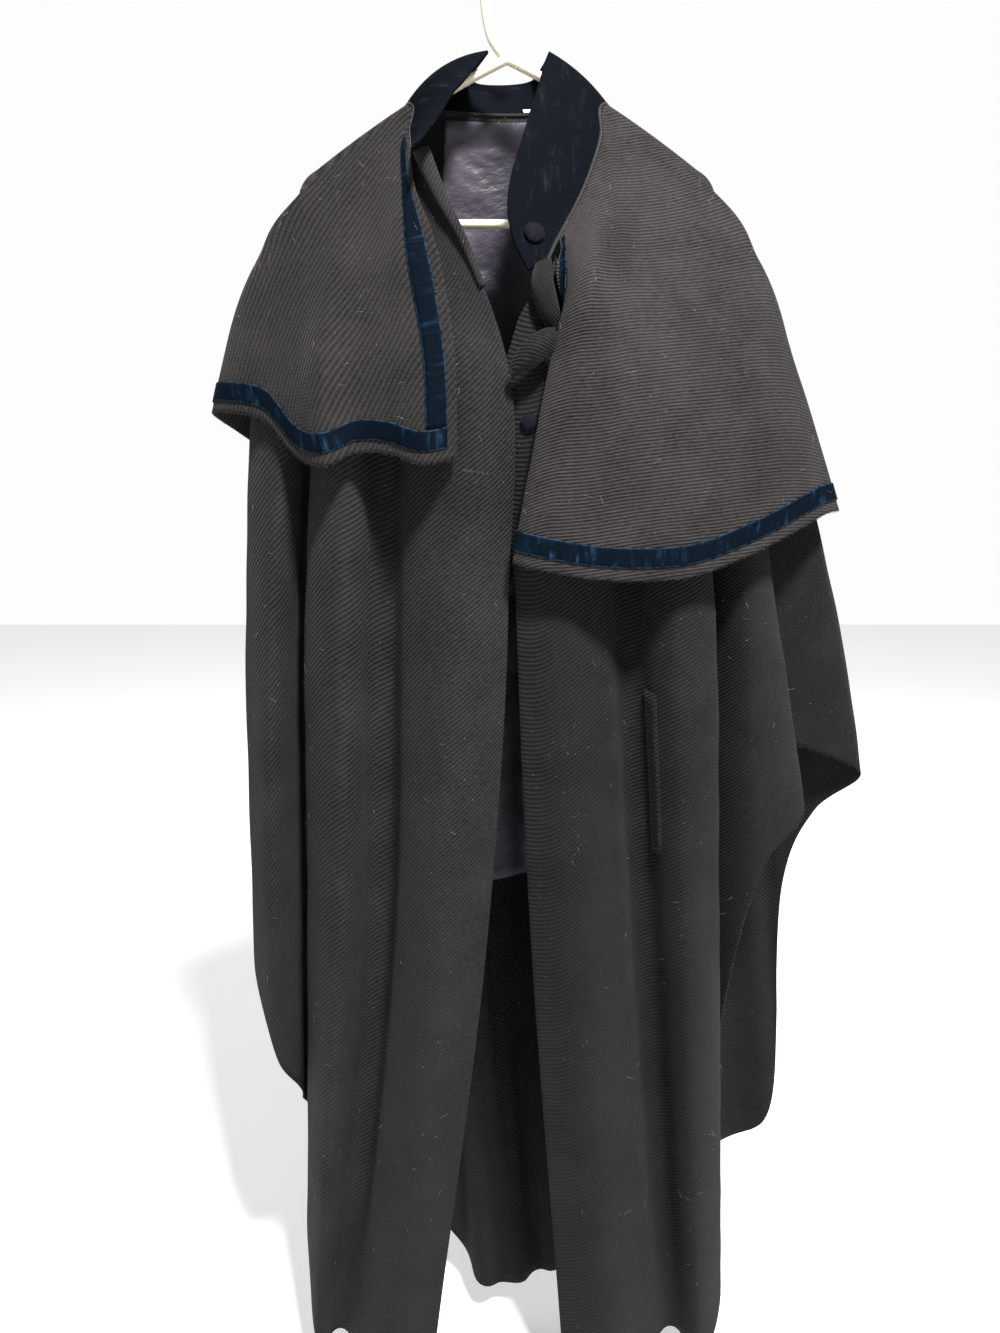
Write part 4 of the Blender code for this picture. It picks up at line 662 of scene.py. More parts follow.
def cut_coordinates(points: np.ndarray, upright: int = 0) -> np.ndarray:
    """Lay a hung grid out flat, as it was cut: each column turns from the last by as much as the cloth widens.

    Args:
        points: Grid of columns by rows.
        upright: Column that stands upright in the layout.

    Returns:
        Flat x and y of each point, in metres.
    """
    down = np.diff(points, axis=1)
    lengths = np.linalg.norm(down, axis=2)
    depth = np.concatenate([np.zeros((len(points), 1)), np.cumsum(lengths, axis=1)], axis=1)
    ways = down / np.maximum(lengths[:, :, None], 1e-9)

    def widths(row: int) -> tuple[np.ndarray, np.ndarray]:
        """Return how far each column lies from the last at a row, across it and along it."""
        step = points[1:, row] - points[:-1, row]
        slide = np.sum(step * ways[:-1, row], axis=1)
        return np.sqrt(np.maximum(np.sum(step * step, axis=1) - slide**2, 0.0)), slide

    top, slide = widths(3)
    low = widths(-4)[0]
    fan = np.clip((low - top) / np.maximum(depth[1:, -4] - depth[1:, 3], 0.05), -0.05, 0.15)
    turn = np.concatenate([[0.0], np.cumsum(fan)])
    turn -= turn[upright]
    heading = (turn[1:] + turn[:-1]) / 2
    across = np.stack([np.cos(heading), np.sin(heading)], axis=1)
    along = np.stack([np.sin(heading), -np.cos(heading)], axis=1)
    start = np.concatenate([[[0.0, 0.0]], np.cumsum(across * top[:, None] + along * slide[:, None], axis=0)])
    way = np.stack([np.sin(turn), -np.cos(turn)], axis=1)
    return start[:, None, :] + way[:, None, :] * (depth - depth[:, 3:4])[:, :, None]


@dataclass
class Panel:
    """Stretch of cloth as a grid: its middle surface, its normals, its flat cut and its distances from the edges."""

    points: np.ndarray
    normals: np.ndarray
    flat: np.ndarray

    @classmethod
    def of(cls, points: np.ndarray) -> Panel:
        """Return a panel over a grid of points."""
        return cls(points, grid_normals(points), cut_coordinates(points))

    def part(self, columns: tuple[int, int], rows: tuple[int, int]) -> Panel:
        """Return a stretch of the panel, with its last column and row."""
        keep = (slice(columns[0], columns[1] + 1), slice(rows[0], rows[1] + 1))
        return Panel(self.points[keep].copy(), self.normals[keep].copy(), self.flat[keep].copy())

    def moved(self, distance: float) -> Panel:
        """Return the panel moved out along its normals."""
        return Panel(self.points + self.normals * distance, self.normals.copy(), self.flat.copy())

    def bent(self, amount: np.ndarray) -> Panel:
        """Return the panel moved out by a different amount at each point, with normals to suit."""
        points = self.points + self.normals * amount[:, :, None]
        return Panel(points, grid_normals(points), self.flat.copy())

    def cut_size(self) -> tuple[Pair, float]:
        """Return the width and length of the cloth that the panel was cut from, and its flat area."""
        across = np.linalg.norm(np.diff(self.points, axis=0), axis=2).sum(axis=0).max()
        down = np.linalg.norm(np.diff(self.points, axis=1), axis=2).sum(axis=1).max()
        near, far = self.points[:-1], self.points[1:]
        cells = np.cross(far[:, 1:] - near[:, :-1], far[:, :-1] - near[:, 1:])
        area = np.linalg.norm(cells, axis=2).sum() / 2
        return (float(across), float(down)), float(min(area, across * down))

    def at(self, column: float, row: float) -> tuple[np.ndarray, np.ndarray]:
        """Return the point and the normal at a place counted in columns and rows."""
        column = min(max(column, 0.0), len(self.points) - 1.001)
        row = min(max(row, 0.0), self.points.shape[1] - 1.001)
        low, left = int(row), int(column)
        down, over = row - low, column - left
        found = []
        for grid in (self.points, self.normals):
            near = grid[left, low] * (1 - down) + grid[left, low + 1] * down
            far = grid[left + 1, low] * (1 - down) + grid[left + 1, low + 1] * down
            found.append(near * (1 - over) + far * over)
        return found[0], found[1] / np.linalg.norm(found[1])


def link(name: str, mesh: bpy.types.Mesh, material: bpy.types.Material) -> bpy.types.Object:
    """Link a mesh as one smooth-shaded piece with its finish."""
    mesh.materials.append(material)
    mesh.shade_smooth()
    piece = bpy.data.objects.new(name, mesh)
    bpy.context.scene.collection.objects.link(piece)
    return piece


def shell(name: str, panel: Panel, thickness: float, material: bpy.types.Material,
          rim_steps: int = 1) -> bpy.types.Object:
    """Make a closed cloth wall with a rounded edge about a panel.

    Args:
        name: Name of the piece.
        panel: Middle surface.
        thickness: Thickness of the cloth.
        material: Finish.
        rim_steps: Rows of points round the edge.

    Returns:
        The piece, with a UV map of the flat cut, in metres.
    """
    columns, rows = panel.points.shape[:2]
    count = columns * rows
    index = np.arange(count).reshape(columns, rows)
    half = thickness / 2
    near, far = index[:-1], index[1:]
    cells = np.stack([near[:, :-1], far[:, :-1], far[:, 1:], near[:, 1:]], axis=2).reshape(-1, 4)
    loop = np.concatenate([index[:, 0], index[-1, 1:], index[::-1, -1][1:], index[0, ::-1][1:-1]])
    spots, normals = panel.points.reshape(-1, 3), panel.normals.reshape(-1, 3)
    out = -np.cross(normals[loop], spots[np.roll(loop, -1)] - spots[np.roll(loop, 1)])
    out /= np.maximum(np.linalg.norm(out, axis=1, keepdims=True), 1e-9)
    layers = [spots + normals * half, spots - normals * half]
    rings = [loop]
    for step in range(1, rim_steps + 1):
        angle = math.pi * step / (rim_steps + 1)
        layers.append(spots[loop] + half * (normals[loop] * math.cos(angle) + out * RIM_BULGE * math.sin(angle)))
        rings.append(2 * count + (step - 1) * len(loop) + np.arange(len(loop)))
    rings.append(loop + count)
    faces = [cells, cells[:, ::-1] + count]
    for upper, lower in zip(rings, rings[1:]):
        faces.append(np.stack([upper, lower, np.roll(lower, -1), np.roll(upper, -1)], axis=1))
    mesh = bpy.data.meshes.new(name)
    mesh.from_pydata(np.vstack(layers).tolist(), [], np.vstack(faces).tolist())
    flat = panel.flat.reshape(-1, 2)
    cut = np.vstack([flat, flat] + [flat[loop]] * rim_steps)
    corners = np.empty(len(mesh.loops), np.int32)
    mesh.loops.foreach_get("vertex_index", corners)
    mesh.uv_layers.new(name="cut").data.foreach_set("uv", cut[corners].astype(np.float32).ravel())
    shares = np.stack(np.meshgrid(np.linspace(0.0, 1.0, columns), np.linspace(0.0, 1.0, rows), indexing="ij"), axis=2)
    shares = shares.reshape(-1, 2)
    shares = np.vstack([shares, shares] + [shares[loop]] * rim_steps)
    mesh.uv_layers.new(name="share").data.foreach_set("uv", shares[corners].astype(np.float32).ravel())
    shape = bmesh.new()
    shape.from_mesh(mesh)
    bmesh.ops.recalc_face_normals(shape, faces=shape.faces)
    shape.to_mesh(mesh)
    shape.free()
    return link(name, mesh, material)


def tube_mesh(name: str, path: np.ndarray, radius: float, sides: int, closed: bool) -> bpy.types.Mesh:
    """Make a round tube along a path in the hanger's plane, with domed ends unless it is closed.

    Args:
        name: Name of the mesh.
        path: Middle line.
        radius: Radius of the tube.
        sides: Number of its sides.
        closed: Whether the path is a loop.

    Returns:
        The mesh.
    """
    count = len(path)
    shape = bmesh.new()
    rings = []
    rounding = [(-radius * math.cos(a), radius * math.sin(a)) for a in np.radians((15, 45, 70))]
    stops = [(place, 0.0, radius) for place in range(count)]
    if not closed:
        stops = [(0, back, size) for back, size in rounding] + stops
        stops += [(count - 1, -back, size) for back, size in rounding[::-1]]
    for place, slide, size in stops:
        before = path[(place - 1) % count] if closed or place else path[place]
        after = path[(place + 1) % count] if closed or place < count - 1 else path[place]
        heading = (after - before) / np.linalg.norm(after - before)
        side = np.array([0.0, 1.0, 0.0])
        up = np.cross(heading, side)
        turns = [2 * math.pi * corner / sides for corner in range(sides)]
        centre = path[place] + heading * slide
        rings.append([shape.verts.new(tuple(centre + size * (math.cos(a) * side + math.sin(a) * up)))
                      for a in turns])
    for here, there in zip(rings, rings[1:] + (rings[:1] if closed else [])):
        for corner in range(sides):
            follow = (corner + 1) % sides
            shape.faces.new((here[corner], here[follow], there[follow], there[corner]))
    if not closed:
        shape.faces.new(rings[0][::-1])
        shape.faces.new(rings[-1])
    bmesh.ops.recalc_face_normals(shape, faces=shape.faces)
    mesh = bpy.data.meshes.new(name)
    shape.to_mesh(mesh)
    shape.free()
    return mesh


@dataclass(frozen=True)
class Value:
    """Output of a shader node, with arithmetic that adds Math nodes."""

    recipe: Recipe
    socket: bpy.types.NodeSocket

    def __add__(self, other: Value | float) -> Value:
        """Return the sum."""
        return self.recipe.math("ADD", self, other)

    def __sub__(self, other: Value | float) -> Value:
        """Return the difference."""
        return self.recipe.math("SUBTRACT", self, other)

    def __rsub__(self, other: float) -> Value:
        """Return a number less this value."""
        return self.recipe.math("SUBTRACT", other, self)

    def __mul__(self, other: Value | float) -> Value:
        """Return the product."""
        return self.recipe.math("MULTIPLY", self, other)

    def __truediv__(self, other: Value | float) -> Value:
        """Return the quotient."""
        return self.recipe.math("DIVIDE", self, other)

    def __pow__(self, other: float) -> Value:
        """Return the power."""
        return self.recipe.math("POWER", self, other)

    __radd__ = __add__
    __rmul__ = __mul__

    def sine(self) -> Value:
        """Return the sine."""
        return self.recipe.math("SINE", self)

    def over(self, low: float, high: float) -> Value:
        """Return 0 below low and 1 above high, with a smooth step between."""
        settings = {"interpolation_type": "SMOOTHSTEP", "clamp": True}
        return self.recipe.node("ShaderNodeMapRange", settings, {"Value": self, "From Min": low, "From Max": high})


class Recipe:
    """A material that is being written: its nodes and its shader."""

    def __init__(self, name: str) -> None:
        """Start a material of that name."""
        self.material = bpy.data.materials.new(name)
        self.material.use_nodes = True
        self.tree = self.material.node_tree
        self.shader = self.tree.nodes["Principled BSDF"]

    def feed(self, socket: bpy.types.NodeSocket, value: Value | float | Sequence[float]) -> None:
        """Link a value to a socket, or set the socket to a number or a colour."""
        if isinstance(value, Value):
            self.tree.links.new(value.socket, socket)
        elif socket.type == "RGBA" and len(value) == 3:
            socket.default_value = (*value, 1.0)
        else:
            socket.default_value = value

    def node(self, kind: str, settings: dict[str, object] | None = None,
             sockets: dict[str | int, Value | float | Sequence[float]] | None = None, output: str | int = 0) -> Value:
        """Add a node.

        Args:
            kind: Type of the node.
            settings: Its properties, which are set first.
            sockets: Values or links of its inputs.
            output: The output that is wanted.

        Returns:
            That output.
        """
        made = self.tree.nodes.new(kind)
        for key, value in (settings or {}).items():
            setattr(made, key, value)
        for key, value in (sockets or {}).items():
            self.feed(made.inputs[key], value)
        return Value(self, made.outputs[output])

    def math(self, operation: str, *values: Value | float) -> Value:
        """Return the outcome of a Math node."""
        return self.node("ShaderNodeMath", {"operation": operation}, dict(enumerate(values)))

    def mix(self, first: Value | Sequence[float], second: Value | Sequence[float], share: Value | float) -> Value:
        """Return a colour between two colours."""
        settings = {"data_type": "RGBA", "clamp_factor": True}
        return self.node("ShaderNodeMix", settings, {0: share, 6: first, 7: second}, 2)

    def noise(self, where: Value, scale: float, detail: float = 2.0, roughness: float = 0.5) -> Value:
        """Return cloudy noise between 0 and 1."""
        sockets = {"Vector": where, "Scale": scale, "Detail": detail, "Roughness": roughness}
        return self.node("ShaderNodeTexNoise", {}, sockets)

    def stretched(self, where: Value, scale: Point, turn: float = 0.0) -> Value:
        """Return a place scaled by its own factor on each axis after a turn about Z."""
        turned = self.node("ShaderNodeVectorRotate", {"rotation_type": "Z_AXIS"}, {"Vector": where, "Angle": turn})
        return self.node("ShaderNodeVectorMath", {"operation": "MULTIPLY"}, {0: turned, 1: scale})

    def flecks(self, where: Value, scale: float, size: float, rarity: float) -> Value:
        """Return a mask of scattered small specks."""
        spots = {"Vector": where, "Scale": scale}
        near = self.node("ShaderNodeTexVoronoi", {"feature": "F1"}, spots, "Distance")
        pick = self.node("ShaderNodeTexVoronoi", {"feature": "F1"}, spots, "Color")
        red = self.node("ShaderNodeSeparateColor", {}, {"Color": pick}, "Red")
        return (1 - near.over(size * 0.5, size)) * red.over(rarity, rarity + 0.02)

    def finish(self, colour: Value | Sequence[float], roughness: Value | float, height: Value | None,
               **constants: float | Sequence[float]) -> bpy.types.Material:
        """Feed the shader.

        Args:
            colour: Base colour.
            roughness: Roughness.
            height: Height of the surface, in metres.
            constants: Other sockets of the shader, with underscores for spaces.

        Returns:
            The material.
        """
        self.feed(self.shader.inputs["Base Color"], colour)
        self.feed(self.shader.inputs["Roughness"], roughness)
        if height is not None:
            bump = self.node("ShaderNodeBump", {}, {"Strength": 1.0, "Distance": 1.0, "Height": height})
            self.feed(self.shader.inputs["Normal"], bump)
        for key, value in constants.items():
            self.feed(self.shader.inputs[key.replace("_", " ").title().replace("Ior", "IOR")], value)
        return self.material


@dataclass(frozen=True)
class Wool:
    """Brushed twill coating, linty and showing wear, browner towards the ground."""

    name: str
    rib_angle: float
    rib_width: float = 0.0033
    dark: Point = (0.0020, 0.0019, 0.0022)
    light: Point = (0.036, 0.033, 0.034)
    brown: Point = (0.0112, 0.0098, 0.0088)
    rib_height: float = 0.00075

    def build(self) -> bpy.types.Material:
        """Return the material."""
        recipe = Recipe(self.name)
        cut = recipe.node("ShaderNodeUVMap", {"uv_map": "cut"})
        place = recipe.node("ShaderNodeTexCoord", {}, {}, "Object")
        turn = math.radians(self.rib_angle)
        lay = recipe.node("ShaderNodeSeparateXYZ", {}, {"Vector": cut}, "X")
        drop = recipe.node("ShaderNodeSeparateXYZ", {}, {"Vector": cut}, "Y")
        drift = recipe.noise(cut, 16.0, 2.0) * (self.rib_width * 0.9)
        over = lay * math.cos(turn) + drop * math.sin(turn) + drift
        along = lay * -math.sin(turn) + drop * math.cos(turn)
        rib = (over * (2 * math.pi / self.rib_width)).sine() * 0.5 + 0.5
        yarn = (along * (2 * math.pi / (self.rib_width * 0.8)) + over * (2 * math.pi / self.rib_width * 0.5)).sine()
        nap = recipe.noise(place, 900.0, 3.0, 0.7)
        fluff = recipe.noise(recipe.stretched(cut, (1.0, 0.35, 1.0), turn), 420.0, 3.0, 0.65)
        mottle = recipe.noise(place, 14.0, 4.0, 0.6)
        shade = mottle.over(0.30, 0.72) * 0.26 + rib * 0.46 + fluff * 0.86 + nap * 0.36 - 0.46
        colour = recipe.mix(self.dark, self.light, shade)
        height_z = recipe.node("ShaderNodeSeparateXYZ", {}, {"Vector": place}, "Z")
        patchy_share = (height_z * -1.0).over(0.55, 1.45) * recipe.noise(place, 6.0, 3.0).over(0.25, 0.75)
        colour = recipe.mix(colour, self.brown, patchy_share * 0.55)
        patches = recipe.noise(place, 11.0, 3.0).over(0.42, 0.75)
        lint = recipe.flecks(place, 260.0, 0.20, 0.88) * patches * 0.55 + recipe.flecks(place, 120.0, 0.10, 0.92) * 0.4
        colour = recipe.mix(colour, (0.20, 0.185, 0.18), lint)
        crumple = recipe.noise(place, 9.0, 2.0, 0.5) * 0.0035 + recipe.noise(place, 32.0, 2.0, 0.5) * 0.0009
        height = rib * self.rib_height + yarn * (self.rib_height * 0.07) + fluff * 0.00030 + nap * 0.00016 + crumple
        return recipe.finish(colour, 0.90, height, sheen_weight=0.06, sheen_roughness=0.45,
                             sheen_tint=(0.50, 0.47, 0.48), specular_ior_level=0.10)


# Paler blue painted along the ribbon's edges: painted sheen.
EDGE_BLUE = (0.016, 0.034, 0.056)


@dataclass(frozen=True)
class Velvet:
    """Cotton velvet with a pile that is crushed in streaks; the streaks are painted lighter, partly as crushed pile and
    partly as painted sheen.
    """

    name: str
    dark: Point
    light: Point
    streak_turn: float
    sheen: float
    tint: Point
    pressed_pile_and_sheen: float
    edge_axis: str = ""

    def build(self) -> bpy.types.Material:
        """Return the material."""
        recipe = Recipe(self.name)
        cut = recipe.node("ShaderNodeUVMap", {"uv_map": "cut"})
        place = recipe.node("ShaderNodeTexCoord", {}, {}, "Object")
        turn = math.radians(self.streak_turn)
        streaks = recipe.noise(recipe.stretched(cut, (1.0, 0.16, 1.0), turn), 130.0, 4.0, 0.62)
        clouds = recipe.noise(cut, 38.0, 3.0, 0.6)
        pile = recipe.noise(place, 1500.0, 2.0, 0.7)
        # Streaks of crushed pile, painted lighter: partly the pile's own look and partly painted sheen.
        pressed_pile_and_sheen = streaks.over(0.48, 0.74) * clouds.over(0.42, 0.70) * self.pressed_pile_and_sheen
        colour = recipe.mix(self.dark, self.light, pressed_pile_and_sheen + pile * 0.05)
        lint = recipe.flecks(place, 300.0, 0.16, 0.96) * 0.25
        colour = recipe.mix(colour, (0.12, 0.13, 0.15), lint)
        if self.edge_axis:
            share = recipe.node("ShaderNodeUVMap", {"uv_map": "share"})
            across = recipe.node("ShaderNodeSeparateXYZ", {}, {"Vector": share}, self.edge_axis)
            # Painted sheen along both edges of the ribbon, broken into patches.
            rim = recipe.math("ABSOLUTE", across - 0.5).over(0.430, 0.475)
            patchy_share = recipe.noise(cut, 160.0, 3.0, 0.7).over(0.36, 0.60)
            colour = recipe.mix(colour, EDGE_BLUE, rim * patchy_share * 0.85)
        roughness = 0.80 - pressed_pile_and_sheen * 0.30
        height = pile * 0.00018 + streaks * 0.00045 + clouds * 0.0006
        return recipe.finish(colour, roughness, height, sheen_weight=self.sheen, sheen_roughness=0.30,
                             sheen_tint=self.tint, specular_ior_level=0.03)


@dataclass(frozen=True)
class Satin:
    """Crinkled lining satin, with painted shade in the hollows of its crinkles and painted highlight on their ridges.
    """

    name: str = "lining_satin"
    dark: Point = (0.016, 0.0135, 0.022)
    light: Point = (0.070, 0.061, 0.084)

    def build(self) -> bpy.types.Material:
        """Return the material."""
        recipe = Recipe(self.name)
        cut = recipe.node("ShaderNodeUVMap", {"uv_map": "cut"})
        crinkle = recipe.noise(recipe.stretched(cut, (1.0, 1.5, 1.0), 0.5), 15.0, 2.0, 0.50)
        fine = recipe.noise(recipe.stretched(cut, (0.8, 1.6, 1.0), -0.4), 60.0, 3.0, 0.55)
        threads = recipe.noise(recipe.stretched(cut, (9.0, 0.6, 1.0)), 260.0, 1.0)
        # The colour follows the crinkles of the bump: painted shade in their hollows, painted highlight on their
        # ridges.
        colour = recipe.mix(self.dark, self.light, crinkle.over(0.35, 0.70) * 0.8 + threads * 0.2)
        roughness = 0.40 + threads * 0.12
        height = crinkle * 0.0060 + fine * 0.0014 + threads * 0.00006
        return recipe.finish(colour, roughness, height, anisotropic=0.40, sheen_weight=0.15,
                             sheen_tint=(0.7, 0.66, 0.75), specular_ior_level=0.42)


@dataclass(frozen=True)
class Plastic:
    """Ivory plastic skin of the hanger, faintly scuffed."""

    name: str = "ivory_plastic"
    clean: Point = (0.70, 0.655, 0.50)
    aged: Point = (0.64, 0.57, 0.39)

    def build(self) -> bpy.types.Material:
        """Return the material."""
        recipe = Recipe(self.name)
        place = recipe.node("ShaderNodeTexCoord", {}, {}, "Object")
        clouds = recipe.noise(place, 30.0, 3.0, 0.6)
        scuffs = recipe.noise(recipe.stretched(place, (6.0, 6.0, 1.0)), 120.0, 3.0, 0.7)
        colour = recipe.mix(self.clean, self.aged, clouds.over(0.50, 0.80) * 0.6 + scuffs.over(0.66, 0.8) * 0.25)
        roughness = 0.34 + scuffs * 0.16
        height = scuffs * 0.00006 + recipe.noise(place, 260.0, 1.0) * 0.00003
        return recipe.finish(colour, roughness, height, subsurface_weight=0.08, subsurface_scale=0.004,
                             coat_weight=0.12, coat_roughness=0.25)


@dataclass(frozen=True)
class Tape:
    """Cream cotton tape, and thread of any colour, with a fine weave."""

    name: str = "cream_tape"
    dark: Point = (0.60, 0.53, 0.40)
    light: Point = (0.84, 0.78, 0.64)
    weave: float = 0.0007

    def build(self) -> bpy.types.Material:
        """Return the material."""
        recipe = Recipe(self.name)
        place = recipe.node("ShaderNodeTexCoord", {}, {}, "Object")
        across = recipe.node("ShaderNodeSeparateXYZ", {}, {"Vector": place}, "X")
        down = recipe.node("ShaderNodeSeparateXYZ", {}, {"Vector": place}, "Z")
        grid = (across * (2 * math.pi / self.weave)).sine() * (down * (2 * math.pi / self.weave)).sine() * 0.5 + 0.5
        fibre = recipe.noise(place, 1800.0, 2.0, 0.7)
        colour = recipe.mix(self.dark, self.light, grid * 0.5 + fibre * 0.5)
        return recipe.finish(colour, 0.88, grid * 0.00012 + fibre * 0.00008, sheen_weight=0.2,
                             specular_ior_level=0.2)


RIBBON_BLUE = (0.16, 0.40, 0.80)


@dataclass
class Finishes:
    """Every finish of the cloak."""

    # The five wool finishes are one cloth. Their light colours differ as painted light and shade: lightest on the
    # cape's left half, darker on its right half and the right front, darkest on the back and the left front.
    cape_left: bpy.types.Material = field(default_factory=Wool("wool_cape_left", 91.0, light=(0.040, 0.037, 0.037)).build)
    cape_right: bpy.types.Material = field(
        default_factory=Wool("wool_cape_right", 36.0, 0.0048, light=(0.028, 0.026, 0.026)).build)
    body_left: bpy.types.Material = field(default_factory=Wool("wool_front_left", 47.0, light=(0.0165, 0.0155, 0.0168)).build)
    body_right: bpy.types.Material = field(
        default_factory=Wool("wool_front_right", 40.0, light=(0.027, 0.0255, 0.0265)).build)
    back: bpy.types.Material = field(default_factory=Wool("wool_back", 48.0, light=(0.018, 0.017, 0.018)).build)
    collar: bpy.types.Material = field(default_factory=Velvet(
        "collar_velvet", (0.0006, 0.0012, 0.0026), (0.026, 0.030, 0.044), 10.0, 0.012, (0.26, 0.34, 0.50), 0.30).build)
    button: bpy.types.Material = field(default_factory=Velvet(
        "button_velvet", (0.0050, 0.0052, 0.0085), (0.028, 0.028, 0.042), 20.0, 0.10, (0.34, 0.34, 0.46), 0.5).build)
    # The two ribbons are one velvet: the hem ribbon's lighter streak colour, and its larger share of it, against the
    # upright ribbon's are painted sheen, a lit and a shaded copy.
    ribbon: bpy.types.Material = field(default_factory=Velvet(
        "ribbon_velvet", (0.0006, 0.0020, 0.0042), (0.012, 0.044, 0.100), 0.0, 0.02, RIBBON_BLUE, 0.8, "Y").build)
    ribbon_upright: bpy.types.Material = field(default_factory=Velvet(
        "ribbon_velvet_upright", (0.0006, 0.0020, 0.0042), (0.010, 0.036, 0.080), 90.0, 0.02, RIBBON_BLUE, 0.6,
        "X").build)
    satin: bpy.types.Material = field(default_factory=Satin().build)
    plastic: bpy.types.Material = field(default_factory=Plastic().build)
    tape: bpy.types.Material = field(default_factory=Tape().build)
    thread: bpy.types.Material = field(default_factory=Tape(
        "dark_thread", (0.010, 0.010, 0.012), (0.035, 0.034, 0.038), 0.0005).build)
    seam_wool: bpy.types.Material = field(default_factory=Tape(
        "seam_wool", (0.004, 0.0038, 0.004), (0.014, 0.013, 0.0135), 0.0012).build)
    pale_fibre: bpy.types.Material = field(default_factory=Tape(
        "pale_fibre", (0.20, 0.19, 0.18), (0.42, 0.40, 0.38), 0.0009).build)
    fibre: bpy.types.Material = field(default_factory=Tape(
        "wool_fibre", (0.030, 0.027, 0.028), (0.080, 0.074, 0.074), 0.0009).build)


def put(piece: bpy.types.Object, slot: str, *nodes: str) -> bpy.types.Object:
    """Let a piece ride on the cloak and stand for CAD nodes where it has any, and log its faces, slot and nodes."""
    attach(piece, "root")
    if nodes:
        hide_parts(*nodes)
    LOG.info("%s: %d faces, slot %s, stands for %s", piece.name, len(piece.data.polygons), slot, nodes or "nothing")
    return piece


def cloth(piece: bpy.types.Object, panel: Panel) -> None:
    """Log the size and area of the cloth that a piece's panel was cut to."""
    size, area = panel.cut_size()
    LOG.info("%s: cut %.3f x %.3f m, %.4f m2", piece.name, *size, area)


def hair_mesh(name: str, roots: np.ndarray, ways: np.ndarray, lengths: np.ndarray, radius: float,
              rng: np.random.Generator) -> bpy.types.Mesh:
    """Make short tapered fibres.

    Args:
        name: Name of the mesh.
        roots: Where each fibre starts.
        ways: Unit directions.
        lengths: Length of each.
        radius: Radius at the root.
        rng: Source of the bends.

    Returns:
        The mesh.
    """
    sides = np.cross(ways, rng.normal(size=ways.shape))
    sides /= np.linalg.norm(sides, axis=1, keepdims=True)
    others = np.cross(ways, sides)
    bend = sides * rng.uniform(0.1, 0.5, (len(roots), 1)) * lengths[:, None]
    vertices = []
    for share, size in ((0.0, 1.0), (0.5, 0.75)):
        centre = roots + ways * (lengths * share)[:, None] + bend * share**2
        for turn in (0.0, 2.1, 4.2):
            vertices.append(centre + radius * size * (sides * math.cos(turn) + others * math.sin(turn)))
    vertices.append(roots + ways * lengths[:, None] + bend)
    spots = np.stack(vertices, axis=1).reshape(-1, 3)
    pattern = [(2, 1, 0), (0, 1, 4), (0, 4, 3), (1, 2, 5), (1, 5, 4), (2, 0, 3), (2, 3, 5),
               (3, 4, 6), (4, 5, 6), (5, 3, 6)]
    faces = (np.arange(len(roots))[:, None, None] * 7 + np.array(pattern)[None]).reshape(-1, 3)
    mesh = bpy.data.meshes.new(name)
    mesh.from_pydata(spots.tolist(), [], faces.tolist())
    return mesh


def stitch_mesh(name: str, starts: np.ndarray, ends: np.ndarray, radius: float) -> bpy.types.Mesh:
    """Make short threads with pointed ends between pairs of points."""
    ways = ends - starts
    ways /= np.linalg.norm(ways, axis=1, keepdims=True)
    sides = np.cross(ways, np.array([0.31, 0.17, 0.93]))
    sides /= np.linalg.norm(sides, axis=1, keepdims=True)
    others = np.cross(ways, sides)
    vertices = [starts]
    for share in (0.22, 0.78):
        centre = starts + (ends - starts) * share
        for corner in range(5):
            turn = 2 * math.pi * corner / 5
            vertices.append(centre + radius * (sides * math.cos(turn) + others * math.sin(turn)))
    vertices.append(ends)
    spots = np.stack(vertices, axis=1).reshape(-1, 3)
    pattern = []
    for corner in range(5):
        here, there = 1 + corner, 1 + (corner + 1) % 5
        pattern += [(0, there, here), (here, there, there + 5), (here, there + 5, here + 5), (here + 5, there + 5, 11)]
    faces = (np.arange(len(starts))[:, None, None] * 12 + np.array(pattern)[None]).reshape(-1, 3)
    mesh = bpy.data.meshes.new(name)
    mesh.from_pydata(spots.tolist(), [], faces.tolist())
    return mesh


@dataclass
class Fuzz:
    """Short wool fibres that stand off a cut edge."""

    name: str
    seed: int
    length: Pair = (0.0015, 0.0050)
    radius: float = 0.00007

    def along(self, edge: np.ndarray, outward: np.ndarray, spacing: float,
              material: bpy.types.Material) -> bpy.types.Object:
        """Grow the fibres along an edge.

        Args:
            edge: Points of the edge.
            outward: Unit directions away from the cloth at those points.
            spacing: Mean distance between fibres.
            material: Finish.

        Returns:
            The piece.
        """
        rng = np.random.default_rng(self.seed)
        run = np.concatenate([[0.0], np.cumsum(np.linalg.norm(np.diff(edge, axis=0), axis=1))])
        count = int(run[-1] / spacing)
        where = np.sort(rng.uniform(0.0, run[-1], count))
        roots = np.column_stack([np.interp(where, run, edge[:, axis]) for axis in range(3)])
        ways = np.column_stack([np.interp(where, run, outward[:, axis]) for axis in range(3)])
        ways = ways + rng.normal(0.0, 0.55, ways.shape)
        ways /= np.linalg.norm(ways, axis=1, keepdims=True)
        lengths = rng.uniform(*self.length, count) * rng.uniform(0.4, 1.0, count)
        return link(self.name, hair_mesh(self.name, roots, ways, lengths, self.radius, rng), material)


def hem_out(panel: Panel) -> tuple[np.ndarray, np.ndarray]:
    """Return the hem's points and the directions away from the cloth."""
    way = panel.points[:, -1] - panel.points[:, -2]
    return panel.points[:, -1], way / np.linalg.norm(way, axis=1, keepdims=True)


def side_out(panel: Panel, column: int) -> tuple[np.ndarray, np.ndarray]:
    """Return a side edge's points, and the directions away from the cloth; column is 0 or -1."""
    inner = 1 if column == 0 else -2
    way = panel.points[:, column] - panel.points[:, inner]
    return panel.points[:, column], way / np.linalg.norm(way, axis=1, keepdims=True)


